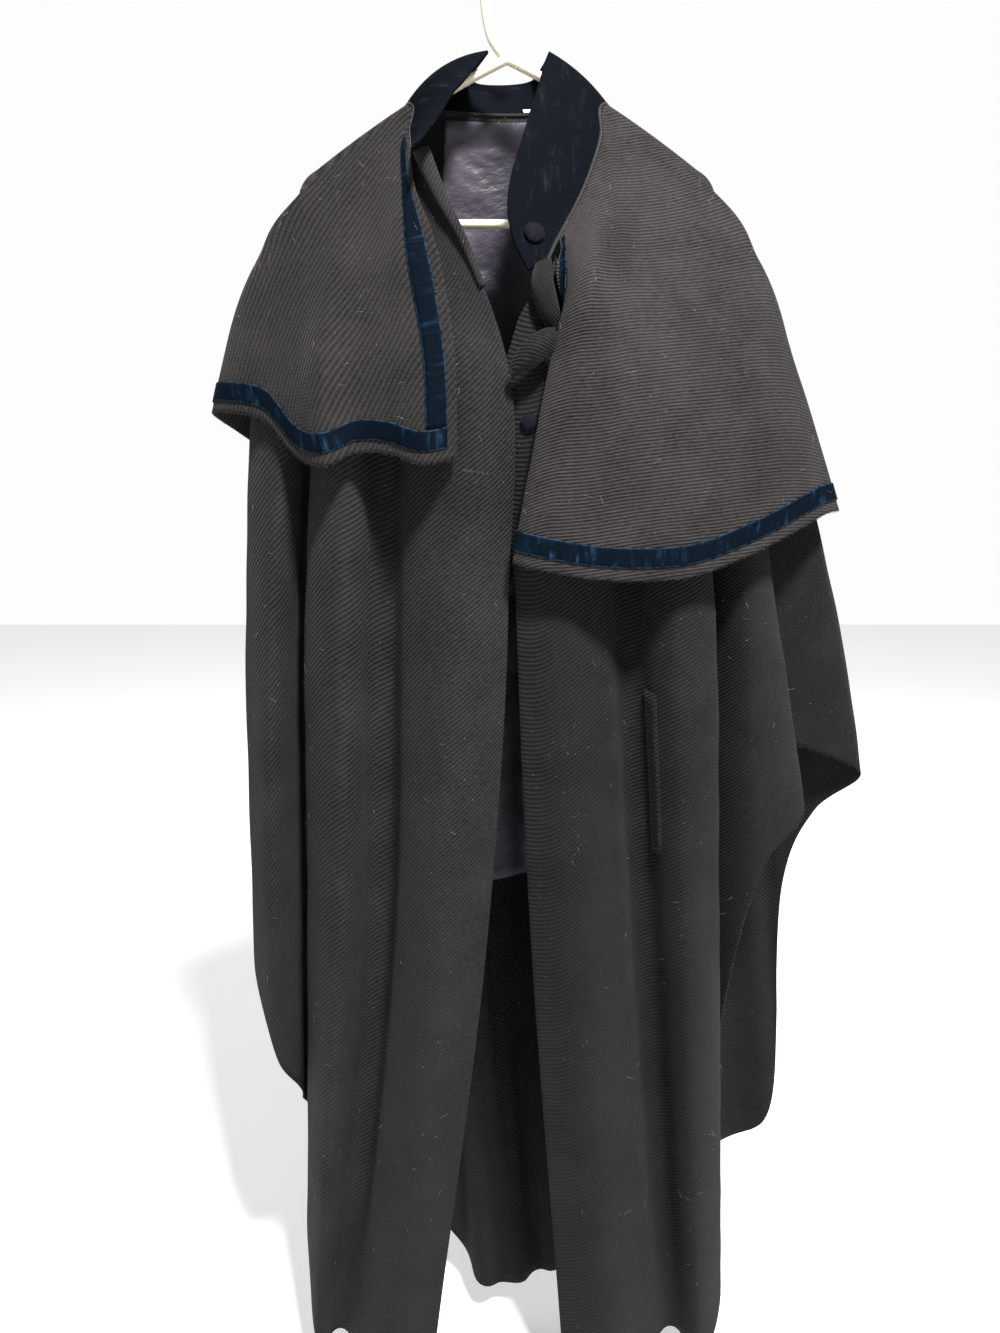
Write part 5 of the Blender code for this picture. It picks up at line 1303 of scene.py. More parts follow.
@dataclass
class Seam:
    """Row of short stitches along a line on a panel."""

    name: str
    length: float = 0.0030
    gap: float = 0.0022
    radius: float = 0.00028
    proud: float = 0.0012

    def sew(self, line: np.ndarray, normals: np.ndarray, material: bpy.types.Material) -> bpy.types.Object:
        """Sew along a line.

        Args:
            line: Points of the line on the cloth's middle surface.
            normals: Normals of the cloth at those points.
            material: Finish of the thread.

        Returns:
            The piece.
        """
        run = np.concatenate([[0.0], np.cumsum(np.linalg.norm(np.diff(line, axis=0), axis=1))])
        raised = line + normals * self.proud
        starts = np.arange(0.0, run[-1] - self.length, self.length + self.gap)
        first = np.column_stack([np.interp(starts, run, raised[:, axis]) for axis in range(3)])
        second = np.column_stack([np.interp(starts + self.length, run, raised[:, axis]) for axis in range(3)])
        return link(self.name, stitch_mesh(self.name, first, second, self.radius), material)


def seen_from_front(panel: Panel, spots: np.ndarray) -> tuple[np.ndarray, np.ndarray]:
    """Return the points and normals of a panel's front behind places given as x and z."""
    flat = panel.points[:, :, (0, 2)]
    hidden = np.where(panel.normals[:, :, 1] < 0.1, 0.0, 1.0)
    points, normals = [], []
    for spot in spots:
        away = np.linalg.norm(flat - spot, axis=2) + hidden
        near = np.argsort(away, axis=None)[:4]
        weights = 1.0 / (away.flat[near] + 1e-5)
        weights /= weights.sum()
        normal = weights @ panel.normals.reshape(-1, 3)[near]
        normals.append(normal / np.linalg.norm(normal))
        points.append((spot[0], weights @ panel.points.reshape(-1, 3)[near, 1], spot[1]))
    return np.array(points), np.array(normals)


@dataclass
class Buttonhole:
    """Worked buttonhole: a dark cord of painted shade along its cut, with a row of overcast stitches on each side of
    it.
    """

    name: str
    start: Pair
    stop: Pair
    count: int = 26
    reach: float = 0.0011

    def work(self, panel: Panel, slit_shade: bpy.types.Material, thread: bpy.types.Material, under: float) -> None:
        """Work the buttonhole on the front of a panel of some thickness."""
        first, second = np.array(self.start), np.array(self.stop)
        points, normals = seen_from_front(
            panel, np.array([first + (second - first) * share for share in np.linspace(0.0, 1.0, self.count)]))
        raised = points + normals * (under / 2 + 0.0002)
        way = np.gradient(raised, axis=0)
        side = np.cross(normals, way)
        side /= np.linalg.norm(side, axis=1, keepdims=True)
        # The dark cord along the cut is painted shade in the buttonhole's opening.
        put(link(f"{self.name}_slit", stitch_mesh(f"{self.name}_slit", raised[:-1] - way[:-1] * 0.3,
                                                  raised[1:] + way[1:] * 0.3, 0.00035), slit_shade), "wool")
        starts = np.vstack([raised + side * 0.0003, raised - side * 0.0003])
        ends = np.vstack([raised + side * self.reach, raised - side * self.reach])
        put(link(f"{self.name}_stitches", stitch_mesh(f"{self.name}_stitches", starts, ends, 0.00024), thread),
            "wool")


def cord_mesh(name: str, path: np.ndarray, radius: float, sides: int) -> bpy.types.Mesh:
    """Make a round cord along any path that never runs along its reference direction."""
    heading = np.gradient(path, axis=0)
    heading /= np.linalg.norm(heading, axis=1, keepdims=True)
    side = np.cross(heading, np.array([0.1, 1.0, 0.35]))
    side /= np.linalg.norm(side, axis=1, keepdims=True)
    other = np.cross(heading, side)
    turns = np.arange(sides) * 2 * math.pi / sides
    rings = path[:, None] + radius * (side[:, None] * np.cos(turns)[None, :, None]
                                      + other[:, None] * np.sin(turns)[None, :, None])
    index = np.arange(len(path) * sides).reshape(len(path), sides)
    follow = np.roll(index, -1, axis=1)
    cells = np.stack([index[:-1], follow[:-1], follow[1:], index[1:]], axis=2).reshape(-1, 4).tolist()
    mesh = bpy.data.meshes.new(name)
    mesh.from_pydata(rings.reshape(-1, 3).tolist(), [], cells + [index[0][::-1].tolist(), index[-1].tolist()])
    return mesh


def front_groove(panel: Panel, start: Pair, stop: Pair, depth: float, width: float) -> np.ndarray:
    """Return how far each point sinks beside a seam that runs straight between two places seen from the front."""
    flat = panel.points[:, :, (0, 2)]
    first, second = np.array(start), np.array(stop)
    way = second - first
    share = np.clip(((flat - first) @ way) / (way @ way), 0.0, 1.0)
    away = np.linalg.norm(flat - first - share[:, :, None] * way, axis=2)
    facing = panel.normals[:, :, 1] < 0.2
    fade = np.sin(np.clip(share, 0.0, 1.0) * math.pi) ** 0.35
    return -depth * np.exp(-((away / width) ** 2)) * facing * fade


def ripples(panel: Panel, seed: int, amount: float, fade_from: float = 0.10, fade_over: float = 0.12) -> np.ndarray:
    """Return soft wrinkles over a panel: none near its top and its sides."""
    rng = np.random.default_rng(seed)
    down = np.concatenate([np.zeros((len(panel.points), 1)),
                           np.cumsum(np.linalg.norm(np.diff(panel.points, axis=1), axis=2), axis=1)], axis=1)
    fade = np.clip((down - fade_from) / fade_over, 0.0, 1.0)
    sides = np.minimum(np.arange(len(down)), np.arange(len(down))[::-1])[:, None] / 8.0
    height = np.zeros(panel.points.shape[:2])
    for _ in range(7):
        way = rng.uniform(0.0, math.pi)
        wave = rng.uniform(0.045, 0.160)
        where = panel.flat[:, :, 0] * math.cos(way) + panel.flat[:, :, 1] * math.sin(way)
        height += np.sin(where * 2 * math.pi / wave + rng.uniform(0.0, 6.28)) * wave
    return height / np.abs(height).max() * amount * fade * np.clip(sides, 0.0, 1.0)


def even(start: float, stop: float, steps: int) -> list[float]:
    """Return places from start to stop, with the given steps between whole numbers."""
    return [start + place / steps for place in range(int(round((stop - start) * steps)) + 1)]


def span_places(ring: Ring, start: int, stop: int, steps: int) -> list[float]:
    """Return places along a ring, with more steps beside the ridges and the tips of the arms."""
    places = [float(start)]
    for low in range(start, stop):
        first, second = ring.lines[low], ring.lines[low + 1]
        bend = {first.kind, second.kind} == {SeatKind.NECK, SeatKind.RIDGE}
        bend = bend or SeatKind.TIP in (first.kind, second.kind)
        places += even(low, low + 1, 4 if bend else steps)[1:]
    return places


def nearest(values: Sequence[float], wanted: float) -> int:
    """Return the index of the value that is closest to the wanted one."""
    return int(np.argmin(np.abs(np.asarray(values) - wanted)))


def ring_panel(ring: Ring, places: Sequence[float], shares: Sequence[float], foot: Sequence[float] = ()) -> Panel:
    """Return the panel of a ring at some places, with normals that stand off the hanger's arms along its top."""
    panel = Panel.of(np.array([ring.column(u, shares, foot) for u in places]))
    for place, u in enumerate(places):
        low = min(int(math.floor(u)), len(ring.lines) - 2)
        first, second = ring.lines[low], ring.lines[low + 1]
        share = u - low
        if share in (0.0, 1.0):
            first = second = (first, second)[int(share)]
        if SeatKind.NECK not in (first.kind, second.kind):
            flat = arm_point(first.station * (1 - share) + second.station * share)[1]
            panel.normals[place, 0] = (first.hand * flat[0], 0.0, flat[1])
    return panel


def lay_on(name: str, panel: Panel, columns: tuple[int, int], rows: tuple[int, int], thickness: float,
           material: bpy.types.Material, under: float = WOOL, outside: bool = True,
           ends: float = 0.0) -> bpy.types.Object:
    """Make a piece that lies on part of a panel.

    Args:
        name: Name of the piece.
        panel: Panel below it.
        columns: First and last column.
        rows: First and last row.
        thickness: Thickness of the piece.
        material: Finish.
        under: Thickness of the panel.
        outside: Whether it lies on the outer face.
        ends: How far its last row stops short.

    Returns:
        The piece.
    """
    away = under / 2 + LAY_GAP + thickness / 2
    piece = panel.moved(away if outside else -away).part(columns, rows)
    if ends:
        step = piece.points[:, -2] - piece.points[:, -1]
        piece.points[:, -1] += step / np.linalg.norm(step, axis=1, keepdims=True) * min(ends, 0.0008)
    return shell(name, piece, thickness, material)


@dataclass
class Hanger:
    """Plastic tube hanger: a hook on a closed frame of two arms and a lower bar."""

    finish: bpy.types.Material
    sides: int = 28

    def frame_path(self) -> np.ndarray:
        """Return the middle line of the frame."""
        half = [arm_point(station)[0] for station in np.linspace(0.0, ARM_STRAIGHT, 40)]
        turn = np.linspace(TIP_FALL, math.pi, 40)[1:]
        half += [np.array(TIP_CENTRE) + TIP_RADIUS * np.array([math.sin(a), math.cos(a)]) for a in turn]
        right = [(x, 0.0, z) for x, z in half]
        return np.array(right + [(-x, 0.0, z) for x, z in half[1:]][::-1])

    def hook_path(self) -> np.ndarray:
        """Return the middle line of the hook, from inside the frame's neck up and round to its open end."""
        stem = [(0.0, 0.0, NECK_Z - 0.001), (-0.0075, 0.0, NECK_Z + 0.0075), (-0.0150, 0.0, NECK_Z + 0.0180),
                (-0.0195, 0.0, NECK_Z + 0.0340), (-0.0222, 0.0, NECK_Z + 0.0540)]
        centre_z = -(HOOK_MEAN_RADIUS - TUBE / 2)
        angles = np.radians(np.linspace(184.0, HOOK_END_ANGLE, 15))
        arc = [(HOOK_MEAN_RADIUS * math.cos(a), 0.0, centre_z + HOOK_MEAN_RADIUS * math.sin(a)) for a in angles]
        places = np.vstack([stem, arc])
        lengths = np.concatenate([[0.0], np.cumsum(np.linalg.norm(np.diff(places, axis=0), axis=1))])
        return smooth(lengths, places, np.linspace(0.0, lengths[-1], 90))

    def build(self) -> None:
        """Unite the hook with the frame."""
        frame = link("hanger_tube", tube_mesh("hanger_tube", self.frame_path(), TUBE / 2, self.sides, True),
                     self.finish)
        hook = link("hook_tool", tube_mesh("hook_tool", self.hook_path(), TUBE / 2, self.sides, False), self.finish)
        join = frame.modifiers.new("hook", "BOOLEAN")
        join.operation = "UNION"
        join.object = hook
        bpy.context.view_layer.update()
        united = bpy.data.meshes.new_from_object(frame.evaluated_get(bpy.context.evaluated_depsgraph_get()))
        frame.modifiers.clear()
        frame.data = united
        united.name = "hanger_tube"
        united.shade_smooth()
        bpy.data.objects.remove(hook, do_unlink=True)
        put(frame, "plastic", "hanger")


@dataclass
class Body:
    """The long cloak: two fronts, back, back lining and a pocket welt."""

    finishes: Finishes
    column_parts: int = 3
    row_parts: int = 6
    ripple: float = 0.0010
    fold_depth: float = 0.0065
    valleys: dict[str, Pair] = field(default_factory=lambda: {
        "right_crease": (0.0175, 0.017), "right_hidden": (0.0100, 0.014), "left_crease": (0.0150, 0.016),
        "left_hidden": (0.0080, 0.014)})
    panels: dict[str, Panel] = field(default_factory=dict)

    def __post_init__(self) -> None:
        """Read the fold lines."""
        edge = NeckEdge(BODY_OVER_ARM, BODY_EDGE_OUT, BODY_EDGE_UNDER, CLOAK_NECK)
        self.ring = Ring(CLOAK, cloak_trail, BODY_OVER_ARM, edge, SEAM_GAP / 2, BODY_TIP_GROWTH)
        self.shares = finer(CLOAK_ROWS, self.row_parts)

    def build(self) -> None:
        """Hang the whole ring of cloth, cut it into its panels and lay the smaller pieces on them."""
        ring = self.ring
        side_right, side_left = ring.index("right_side"), ring.index("left_side")
        end = len(ring.lines) - 1
        right = finer(span_places(ring, 0, side_right, 4), self.column_parts)
        back = finer(span_places(ring, side_right, side_left, 3), self.column_parts + 1)
        left = finer(span_places(ring, side_left, end, 4), self.column_parts)
        places = right + back[1:] + left[1:]
        whole = ring_panel(ring, places, self.shares)
        top = whole.normals[:, 0].copy()
        whole = whole.bent(ripples(whole, 11, self.ripple))
        whole.normals[:, 0] = top
        whole = whole.bent(self.back_folds(whole) + self.creases(whole, places))
        whole.normals[:, 0] = top
        first, second = len(right) - 1, len(right) + len(back) - 2
        gap = np.array([0.0, SEAM_GAP / 2, 0.0])
        rows = whole.points.shape[1] - 1
        for name, start, stop, moves in (("front_right", 0, first, (0, -1)), ("back", first, second, (1, 1)),
                                         ("front_left", second, len(places) - 1, (-1, 0))):
            panel = whole.part((start, stop), (0, rows))
            panel.points[0] += gap * moves[0]
            panel.points[-1] += gap * moves[1]
            line, own = {"front_right": ("right_bulge", right), "back": ("back_6", back),
                         "front_left": ("left_bulge", left)}[name]
            panel.flat = cut_coordinates(panel.points, nearest(own, ring.index(line)))
            self.panels[name] = panel
            finish = {"front_right": self.finishes.body_right, "back": self.finishes.back,
                      "front_left": self.finishes.body_left}[name]
            piece = put(shell(f"{name}_cloth", panel, WOOL, finish), "wool", name)
            cloth(piece, panel)
        self.line_back(back)
        self.add_welt(left)
        self.add_edges()

    def creases(self, panel: Panel, places: Sequence[float]) -> np.ndarray:
        """Return the narrow valleys along the deep fold lines of the fronts."""
        run = np.concatenate([np.zeros((1, panel.points.shape[1])),
                              np.cumsum(np.linalg.norm(np.diff(panel.points, axis=0), axis=2), axis=0)])
        z = panel.points[:, :, 2]
        fade = np.clip((-0.30 - z) / 0.16, 0.0, 1.0) * np.clip((z + 1.52) / 0.20, 0.25, 1.0)
        amount = np.zeros(z.shape)
        for name, (depth, width) in self.valleys.items():
            column = nearest(places, self.ring.index(name))
            amount -= depth * np.exp(-(((run - run[column]) / width) ** 2))
        return amount * fade

    def back_folds(self, panel: Panel) -> np.ndarray:
        """Return the narrow folds that the back makes between the fronts, below its lining."""
        x, y, z = (panel.points[:, :, axis] for axis in range(3))
        reach = np.clip((-1.00 - z) / 0.25, 0.0, 1.0) * (y > 0.0) * np.exp(-(((x - 0.005) / 0.075) ** 4))
        lean = x + (z + 1.2) * 0.10
        return self.fold_depth * reach * np.sin(lean * 2 * math.pi / 0.048)

    def line_back(self, places: Sequence[float]) -> None:
        """Lay the lining inside the back, with the stitches that hold its lower end."""
        panel = self.panels["back"]
        columns = (nearest(places, self.ring.index("back_5")), nearest(places, self.ring.index("back_8")))
        last = 2 + nearest(self.shares, LINING_END)
        lining = lay_on("lining_back_cloth", panel, columns, (0, last), SATIN, self.finishes.satin, outside=False)
        put(lining, "satin", "lining_back")
        cloth(lining, panel.part(columns, (0, last)))
        inside = panel.moved(-(WOOL / 2 + LAY_GAP + SATIN))
        line = inside.points[columns[0] + 2:columns[1] - 1, last - 1]
        put(Seam("lining_stitches", 0.0028, 0.0016, 0.00025, 0.0).sew(
            line, inside.normals[columns[0] + 2:columns[1] - 1, last - 1], self.finishes.thread), "satin")

    def add_welt(self, places: Sequence[float]) -> None:
        """Lay the pocket's welt on the left front, stitched along both long sides."""
        panel = self.panels["front_left"]
        rows = (2 + nearest(self.shares, WELT_ROWS[0]), 2 + nearest(self.shares, WELT_ROWS[1]))
        crease = nearest(places, self.ring.index("left_crease"))
        columns = (crease - 2 * self.column_parts, crease - self.column_parts)
        welt = put(lay_on("welt_left_cloth", panel, columns, rows, WOOL, self.finishes.body_left), "wool", "welt_left")
        cloth(welt, panel.part(columns, rows))
        proud = WOOL * 1.5 + LAY_GAP + 0.0001
        for name, column in (("welt_stitches_front", columns[1] - 0.4), ("welt_stitches_side", columns[0] + 0.4)):
            spots = [panel.at(column, row) for row in np.arange(rows[0] + 0.3, rows[1] - 0.2, 0.25)]
            seam = Seam(name, 0.0030, 0.0024, 0.00026, proud)
            put(seam.sew(np.array([spot[0] for spot in spots]), np.array([spot[1] for spot in spots]),
                         self.finishes.thread), "wool")

    def add_edges(self) -> None:
        """Grow fibres on the front edges and the hems, and sew the back's hem."""
        fibre = self.finishes.fibre
        jobs = (("fuzz_front_right_edge", 21, side_out(self.panels["front_right"], 0), 0.0011),
                ("fuzz_front_left_edge", 22, side_out(self.panels["front_left"], -1), 0.0011),
                ("fuzz_front_right_hem", 23, hem_out(self.panels["front_right"]), 0.0012),
                ("fuzz_front_left_hem", 24, hem_out(self.panels["front_left"]), 0.0012),
                ("fuzz_back_hem", 25, hem_out(self.panels["back"]), 0.0015))
        for name, seed, (edge, outward), spacing in jobs:
            put(Fuzz(name, seed).along(edge, outward, spacing, fibre), "wool")
        RolledFacing("front_right_roll", RIGHT_ROLL).build(self.finishes.body_right, "front_right_cloth")
        RolledFacing("front_left_roll", LEFT_ROLL).build(self.finishes.body_left, "front_left_cloth")
        TurnedFlap("front_left_flap").build(self.finishes.body_left, "front_left_cloth")
        for seed, (name, panel) in enumerate(self.panels.items()):
            LooseHairs(f"loose_hairs_{name}", 60 + seed, 110).strew(panel, WOOL, self.finishes.pale_fibre)
        Buttonhole("front_buttonhole", (-0.0415, -0.4965), (-0.0172, -0.5000)).work(
            self.panels["front_right"], self.finishes.thread, fibre, WOOL)
        for name, side in (("front_right", 1), ("front_left", 1), ("back", 1)):
            panel = self.panels[name]
            row = panel.points.shape[1] - 2
            line = panel.points[2:-2, row]
            put(Seam(f"hem_stitches_{name}", 0.0016, 0.0060, 0.00022, 0.00095 * side).sew(
                line, panel.normals[2:-2, row], self.finishes.thread), "wool")


@dataclass
class RolledFacing:
    """Stretch of a front's edge that rolls over: a spine, with the radius of the roll at each point."""

    name: str
    spine: tuple[tuple[float, float, float, float], ...]
    open_from: float = -50.0
    open_to: float = 215.0

    def build(self, finish: bpy.types.Material, rests_on: str) -> None:
        """Roll the cloth about the spine."""
        knots = np.linspace(0.0, 1.0, len(self.spine))
        line = smooth(knots, np.array(self.spine), np.linspace(0.0, 1.0, 48))
        turns = np.radians(np.linspace(self.open_from, self.open_to, 26))
        swirl = 1.0 - 0.16 * np.linspace(1.0, 0.0, len(turns))
        across = np.cos(turns) * swirl
        forward = -np.sin(turns) * swirl
        points = np.repeat(line[:, None, :3], len(turns), axis=1)
        points[:, :, 0] += line[:, 3:] * across
        points[:, :, 1] += line[:, 3:] * forward
        points[:, :, 2] += line[:, 3:] * 0.25 * np.sin(turns * 1.5 + 0.6)
        panel = Panel.of(points)
        cloth(put(shell(self.name, panel, WOOL * 0.8, finish), "wool"), panel)


@dataclass
class TurnedFlap:
    """Corner of the left front that turns back: three rows of points from its upper edge to its lower one."""

    name: str
    rows: tuple[tuple[Point, ...], ...] = (
        ((0.0016, -0.1070, -0.4060), (0.0080, -0.1120, -0.3900), (0.0200, -0.1150, -0.3760), (0.0330, -0.1120, -0.3680),
         (0.0440, -0.1050, -0.3655)),
        ((0.0030, -0.1120, -0.4085), (0.0130, -0.1190, -0.3990), (0.0250, -0.1210, -0.3880), (0.0370, -0.1170, -0.3790),
         (0.0460, -0.1080, -0.3730)),
        ((0.0045, -0.1080, -0.4110), (0.0160, -0.1120, -0.4060), (0.0290, -0.1130, -0.3990), (0.0400, -0.1100, -0.3900),
         (0.0480, -0.1050, -0.3800)))

    def build(self, finish: bpy.types.Material, rests_on: str) -> None:
        """Fold the flap."""
        table = np.array(self.rows)
        across = smooth(range(3), table.reshape(3, -1), np.linspace(0.0, 2.0, 14)).reshape(14, 5, 3)
        grid = smooth(range(5), across.transpose(1, 0, 2).reshape(5, -1), np.linspace(0.0, 4.0, 40))
        panel = Panel.of(grid.reshape(40, 14, 3))
        panel.normals *= -np.sign(np.sum(panel.normals[:, :, 1]))
        cloth(put(shell(self.name, panel, WOOL * 0.9, finish), "wool"), panel)


@dataclass(frozen=True)
class LooseHairs:
    """Pale hairs that have settled on a panel."""

    name: str
    seed: int
    count: int
    length: Pair = (0.004, 0.013)
    radius: float = 0.00009

    def strew(self, panel: Panel, under: float, finish: bpy.types.Material) -> None:
        """Strew the hairs over the outer face of a panel of some thickness."""
        rng = np.random.default_rng(self.seed)
        columns = rng.uniform(3, len(panel.points) - 4, self.count)
        rows = rng.uniform(5, panel.points.shape[1] - 6, self.count)
        spots = [panel.at(column, row) for column, row in zip(columns, rows)]
        normals = np.array([spot[1] for spot in spots])
        roots = np.array([spot[0] for spot in spots]) + normals * (under / 2 + 0.0004)
        ways = np.cross(normals, rng.normal(size=normals.shape))
        ways = ways / np.linalg.norm(ways, axis=1, keepdims=True) + normals * 0.12
        ways /= np.linalg.norm(ways, axis=1, keepdims=True)
        lengths = rng.uniform(*self.length, self.count)
        put(link(self.name, hair_mesh(self.name, roots, ways, lengths, self.radius, rng), finish), "wool")


RIGHT_ROLL = ((-0.083, -0.038, -0.1920, 0.0085), (-0.075, -0.047, -0.2120, 0.0075), (-0.063, -0.058, -0.2400, 0.0060),
              (-0.050, -0.068, -0.2650, 0.0045), (-0.038, -0.076, -0.2900, 0.0035), (-0.024, -0.084, -0.3250, 0.0025))
LEFT_ROLL = ((0.0345, -0.086, -0.3035, 0.0075), (0.0330, -0.089, -0.3170, 0.0100), (0.0345, -0.090, -0.3300, 0.0112),
             (0.0385, -0.090, -0.3440, 0.0105), (0.0430, -0.089, -0.3560, 0.0085), (0.0470, -0.087, -0.3670, 0.0050))


@dataclass
class ShoulderCape:
    """The cape: two halves joined at the back, each with a velvet ribbon along its front and its hem."""

    finishes: Finishes
    column_parts: int = 4
    row_parts: int = 7
    ripple: float = 0.0008
    dart_start: Pair = (0.1326, -0.1837)
    dart_stop: Pair = (0.1878, -0.2235)
    panels: dict[str, Panel] = field(default_factory=dict)

    def __post_init__(self) -> None:
        """Read the fold lines."""
        edge = NeckEdge(CAPE_OVER_ARM, CAPE_EDGE_OUT, 0.0, {})
        self.ring = Ring(CAPE, cape_trail, CAPE_OVER_ARM, edge, 0.0, CAPE_TIP_GROWTH)

    def build(self) -> None:
        """Hang the ring, cut it at the back and lay the ribbons on."""
        ring = self.ring
        centre, end = ring.index("back_centre"), len(ring.lines) - 1
        parts = self.column_parts
        right = finer([0.0, 0.28, 0.88] + span_places(ring, 1, centre, 3)[1:], parts)
        left = finer(span_places(ring, centre, end - 3, 3) + [end - back for back in FLAP_PLACES], parts)
        places = right + left[1:]
        ribbon_rows = 5
        foot = finer((TRIM_INSET + TRIM_WIDTH, TRIM_INSET), ribbon_rows)
        shares = finer(CAPE_ROWS, self.row_parts)
        below = finer((TRIM_INSET, 0.0), 3)[1:-1]
        whole = ring_panel(ring, places, shares, (*foot, *below))
        top = whole.normals[:, 0].copy()
        amount = ripples(whole, 7, self.ripple, 0.08, 0.10)
        amount += front_groove(whole, self.dart_start, self.dart_stop, 0.0011, 0.0028)
        whole = whole.bent(amount)
        whole.normals[:, 0] = top
        middle = len(right) - 1
        last_row = whole.points.shape[1] - 1
        upper = 2 + (len(CAPE_ROWS) - 1) * self.row_parts
        hem_rows = (upper, upper + ribbon_rows)
        gap = np.array([SEAM_GAP / 2, 0.0, 0.0])
        halves = {"cape_right": whole.part((0, middle), (0, last_row)),
                  "cape_left": whole.part((middle, len(places) - 1), (0, last_row))}
        halves["cape_right"].points[-1] -= gap
        halves["cape_left"].points[0] += gap
        for name, panel in halves.items():
            line = ring.index({"cape_right": "right_wave", "cape_left": "left_flat"}[name])
            panel.flat = cut_coordinates(panel.points, nearest({"cape_right": right, "cape_left": left}[name], line))
            self.panels[name] = panel
            finish = self.finishes.cape_left if name == "cape_left" else self.finishes.cape_right
            piece = put(shell(f"{name}_cloth", panel, WOOL, finish), "wool", name)
            cloth(piece, panel)
        flat, upright = self.finishes.ribbon, self.finishes.ribbon_upright
        right_panel, left_panel = halves["cape_right"], halves["cape_left"]
        last = len(left_panel.points) - 1
        front_rows = (1, upper)
        for name, panel, columns, rows, ends, ribbon in (
                ("trim_hem_right", right_panel, (parts, middle), hem_rows, 0.0, flat),
                ("trim_front_right", right_panel, (parts, 2 * parts), front_rows, 0.0008, upright),
                ("trim_hem_left", left_panel, (0, last - parts), hem_rows, 0.0, flat),
                ("trim_front_left", left_panel, (last - 3 * parts, last - parts), front_rows, 0.0008, upright)):
            piece = put(lay_on(f"{name}_ribbon", panel, columns, rows, RIBBON, ribbon, ends=ends), "ribbon", name)
            cloth(piece, panel.part(columns, rows))
        self.add_edges()
        self.sew_dart()
        LooseHairs("loose_hairs_cape_left", 51, 90).strew(left_panel, WOOL, self.finishes.pale_fibre)
        LooseHairs("loose_hairs_cape_right", 52, 70).strew(right_panel, WOOL, self.finishes.pale_fibre)

    def add_edges(self) -> None:
        """Grow fibres on the hems and front edges."""
        fibre = self.finishes.fibre
        for name, seed, (edge, outward), spacing in (
                ("fuzz_cape_right_hem", 31, hem_out(self.panels["cape_right"]), 0.00055),
                ("fuzz_cape_left_hem", 32, hem_out(self.panels["cape_left"]), 0.00055),
                ("fuzz_cape_right_edge", 33, side_out(self.panels["cape_right"], 0), 0.0009),
                ("fuzz_cape_left_edge", 34, side_out(self.panels["cape_left"], -1), 0.0009)):
            put(Fuzz(name, seed).along(edge, outward, spacing, fibre), "wool")

    def sew_dart(self) -> None:
        """Sew the shoulder dart of the left half."""
        first, second = np.array(self.dart_start), np.array(self.dart_stop)
        spots = np.array([first + (second - first) * share for share in np.linspace(0.02, 0.98, 60)])
        line, normals = seen_from_front(self.panels["cape_left"], spots)
        put(Seam("dart_stitches", 0.0028, 0.0018, 0.00026, 0.0010).sew(
            line, normals, self.finishes.thread), "wool")


@dataclass
class StandCollar:
    """Velvet stand collar with a rounded tab, and a loop of tape inside its back."""

    finishes: Finishes
    column_parts: int = 12
    rows: int = 25

    def grid(self, places: Sequence[float], shares: Sequence[float]) -> Panel:
        """Return the collar from its top edge down to its seam, at places along the seam."""
        tops = np.array([row.collar_top for row in NECKLINE])
        swells = np.array([[row.swell] for row in NECKLINE])
        spots = np.interp(places, range(len(SEAM_PLACES)), SEAM_PLACES)
        seam = smooth(SEAM_PLACES, SEAMS, spots)
        top = smooth(SEAM_PLACES, tops, spots)
        swell = smooth(SEAM_PLACES, swells, spots)
        out = np.cross(np.gradient(seam + top, axis=0), seam - top)
        out /= np.linalg.norm(out, axis=1, keepdims=True)
        rows = [top + (seam - top) * share + out * swell * 4 * share * (1 - share) for share in shares]
        return Panel.of(np.array(rows).transpose(1, 0, 2))

    def build(self) -> None:
        """Make the collar and the loop."""
        places = even(0, len(NECKLINE) - 1, self.column_parts)
        panel = self.grid(places, np.linspace(0.0, 1.0, self.rows))
        stand = put(shell("collar_velvet_stand", panel, COLLAR_CLOTH, self.finishes.collar, 4), "velvet", "collar")
        cloth(stand, panel)
        loop = self.grid(np.linspace(*LOOP_PLACES, 13), np.linspace(*LOOP_ROWS, 7))
        ends = np.linspace(SEAM_PLACES[0], SEAM_PLACES[-1], 260)
        roll = smooth(SEAM_PLACES, SEAMS, ends)
        put(link("neck_seam_roll", cord_mesh("neck_seam_roll", roll, 0.0019, 8), self.finishes.seam_wool), "wool")
        tape = lay_on("neck_loop_tape", loop, (0, 12), (0, 6), TAPE, self.finishes.tape, COLLAR_CLOTH, False)
        put(tape, "tape", "neck_loop")


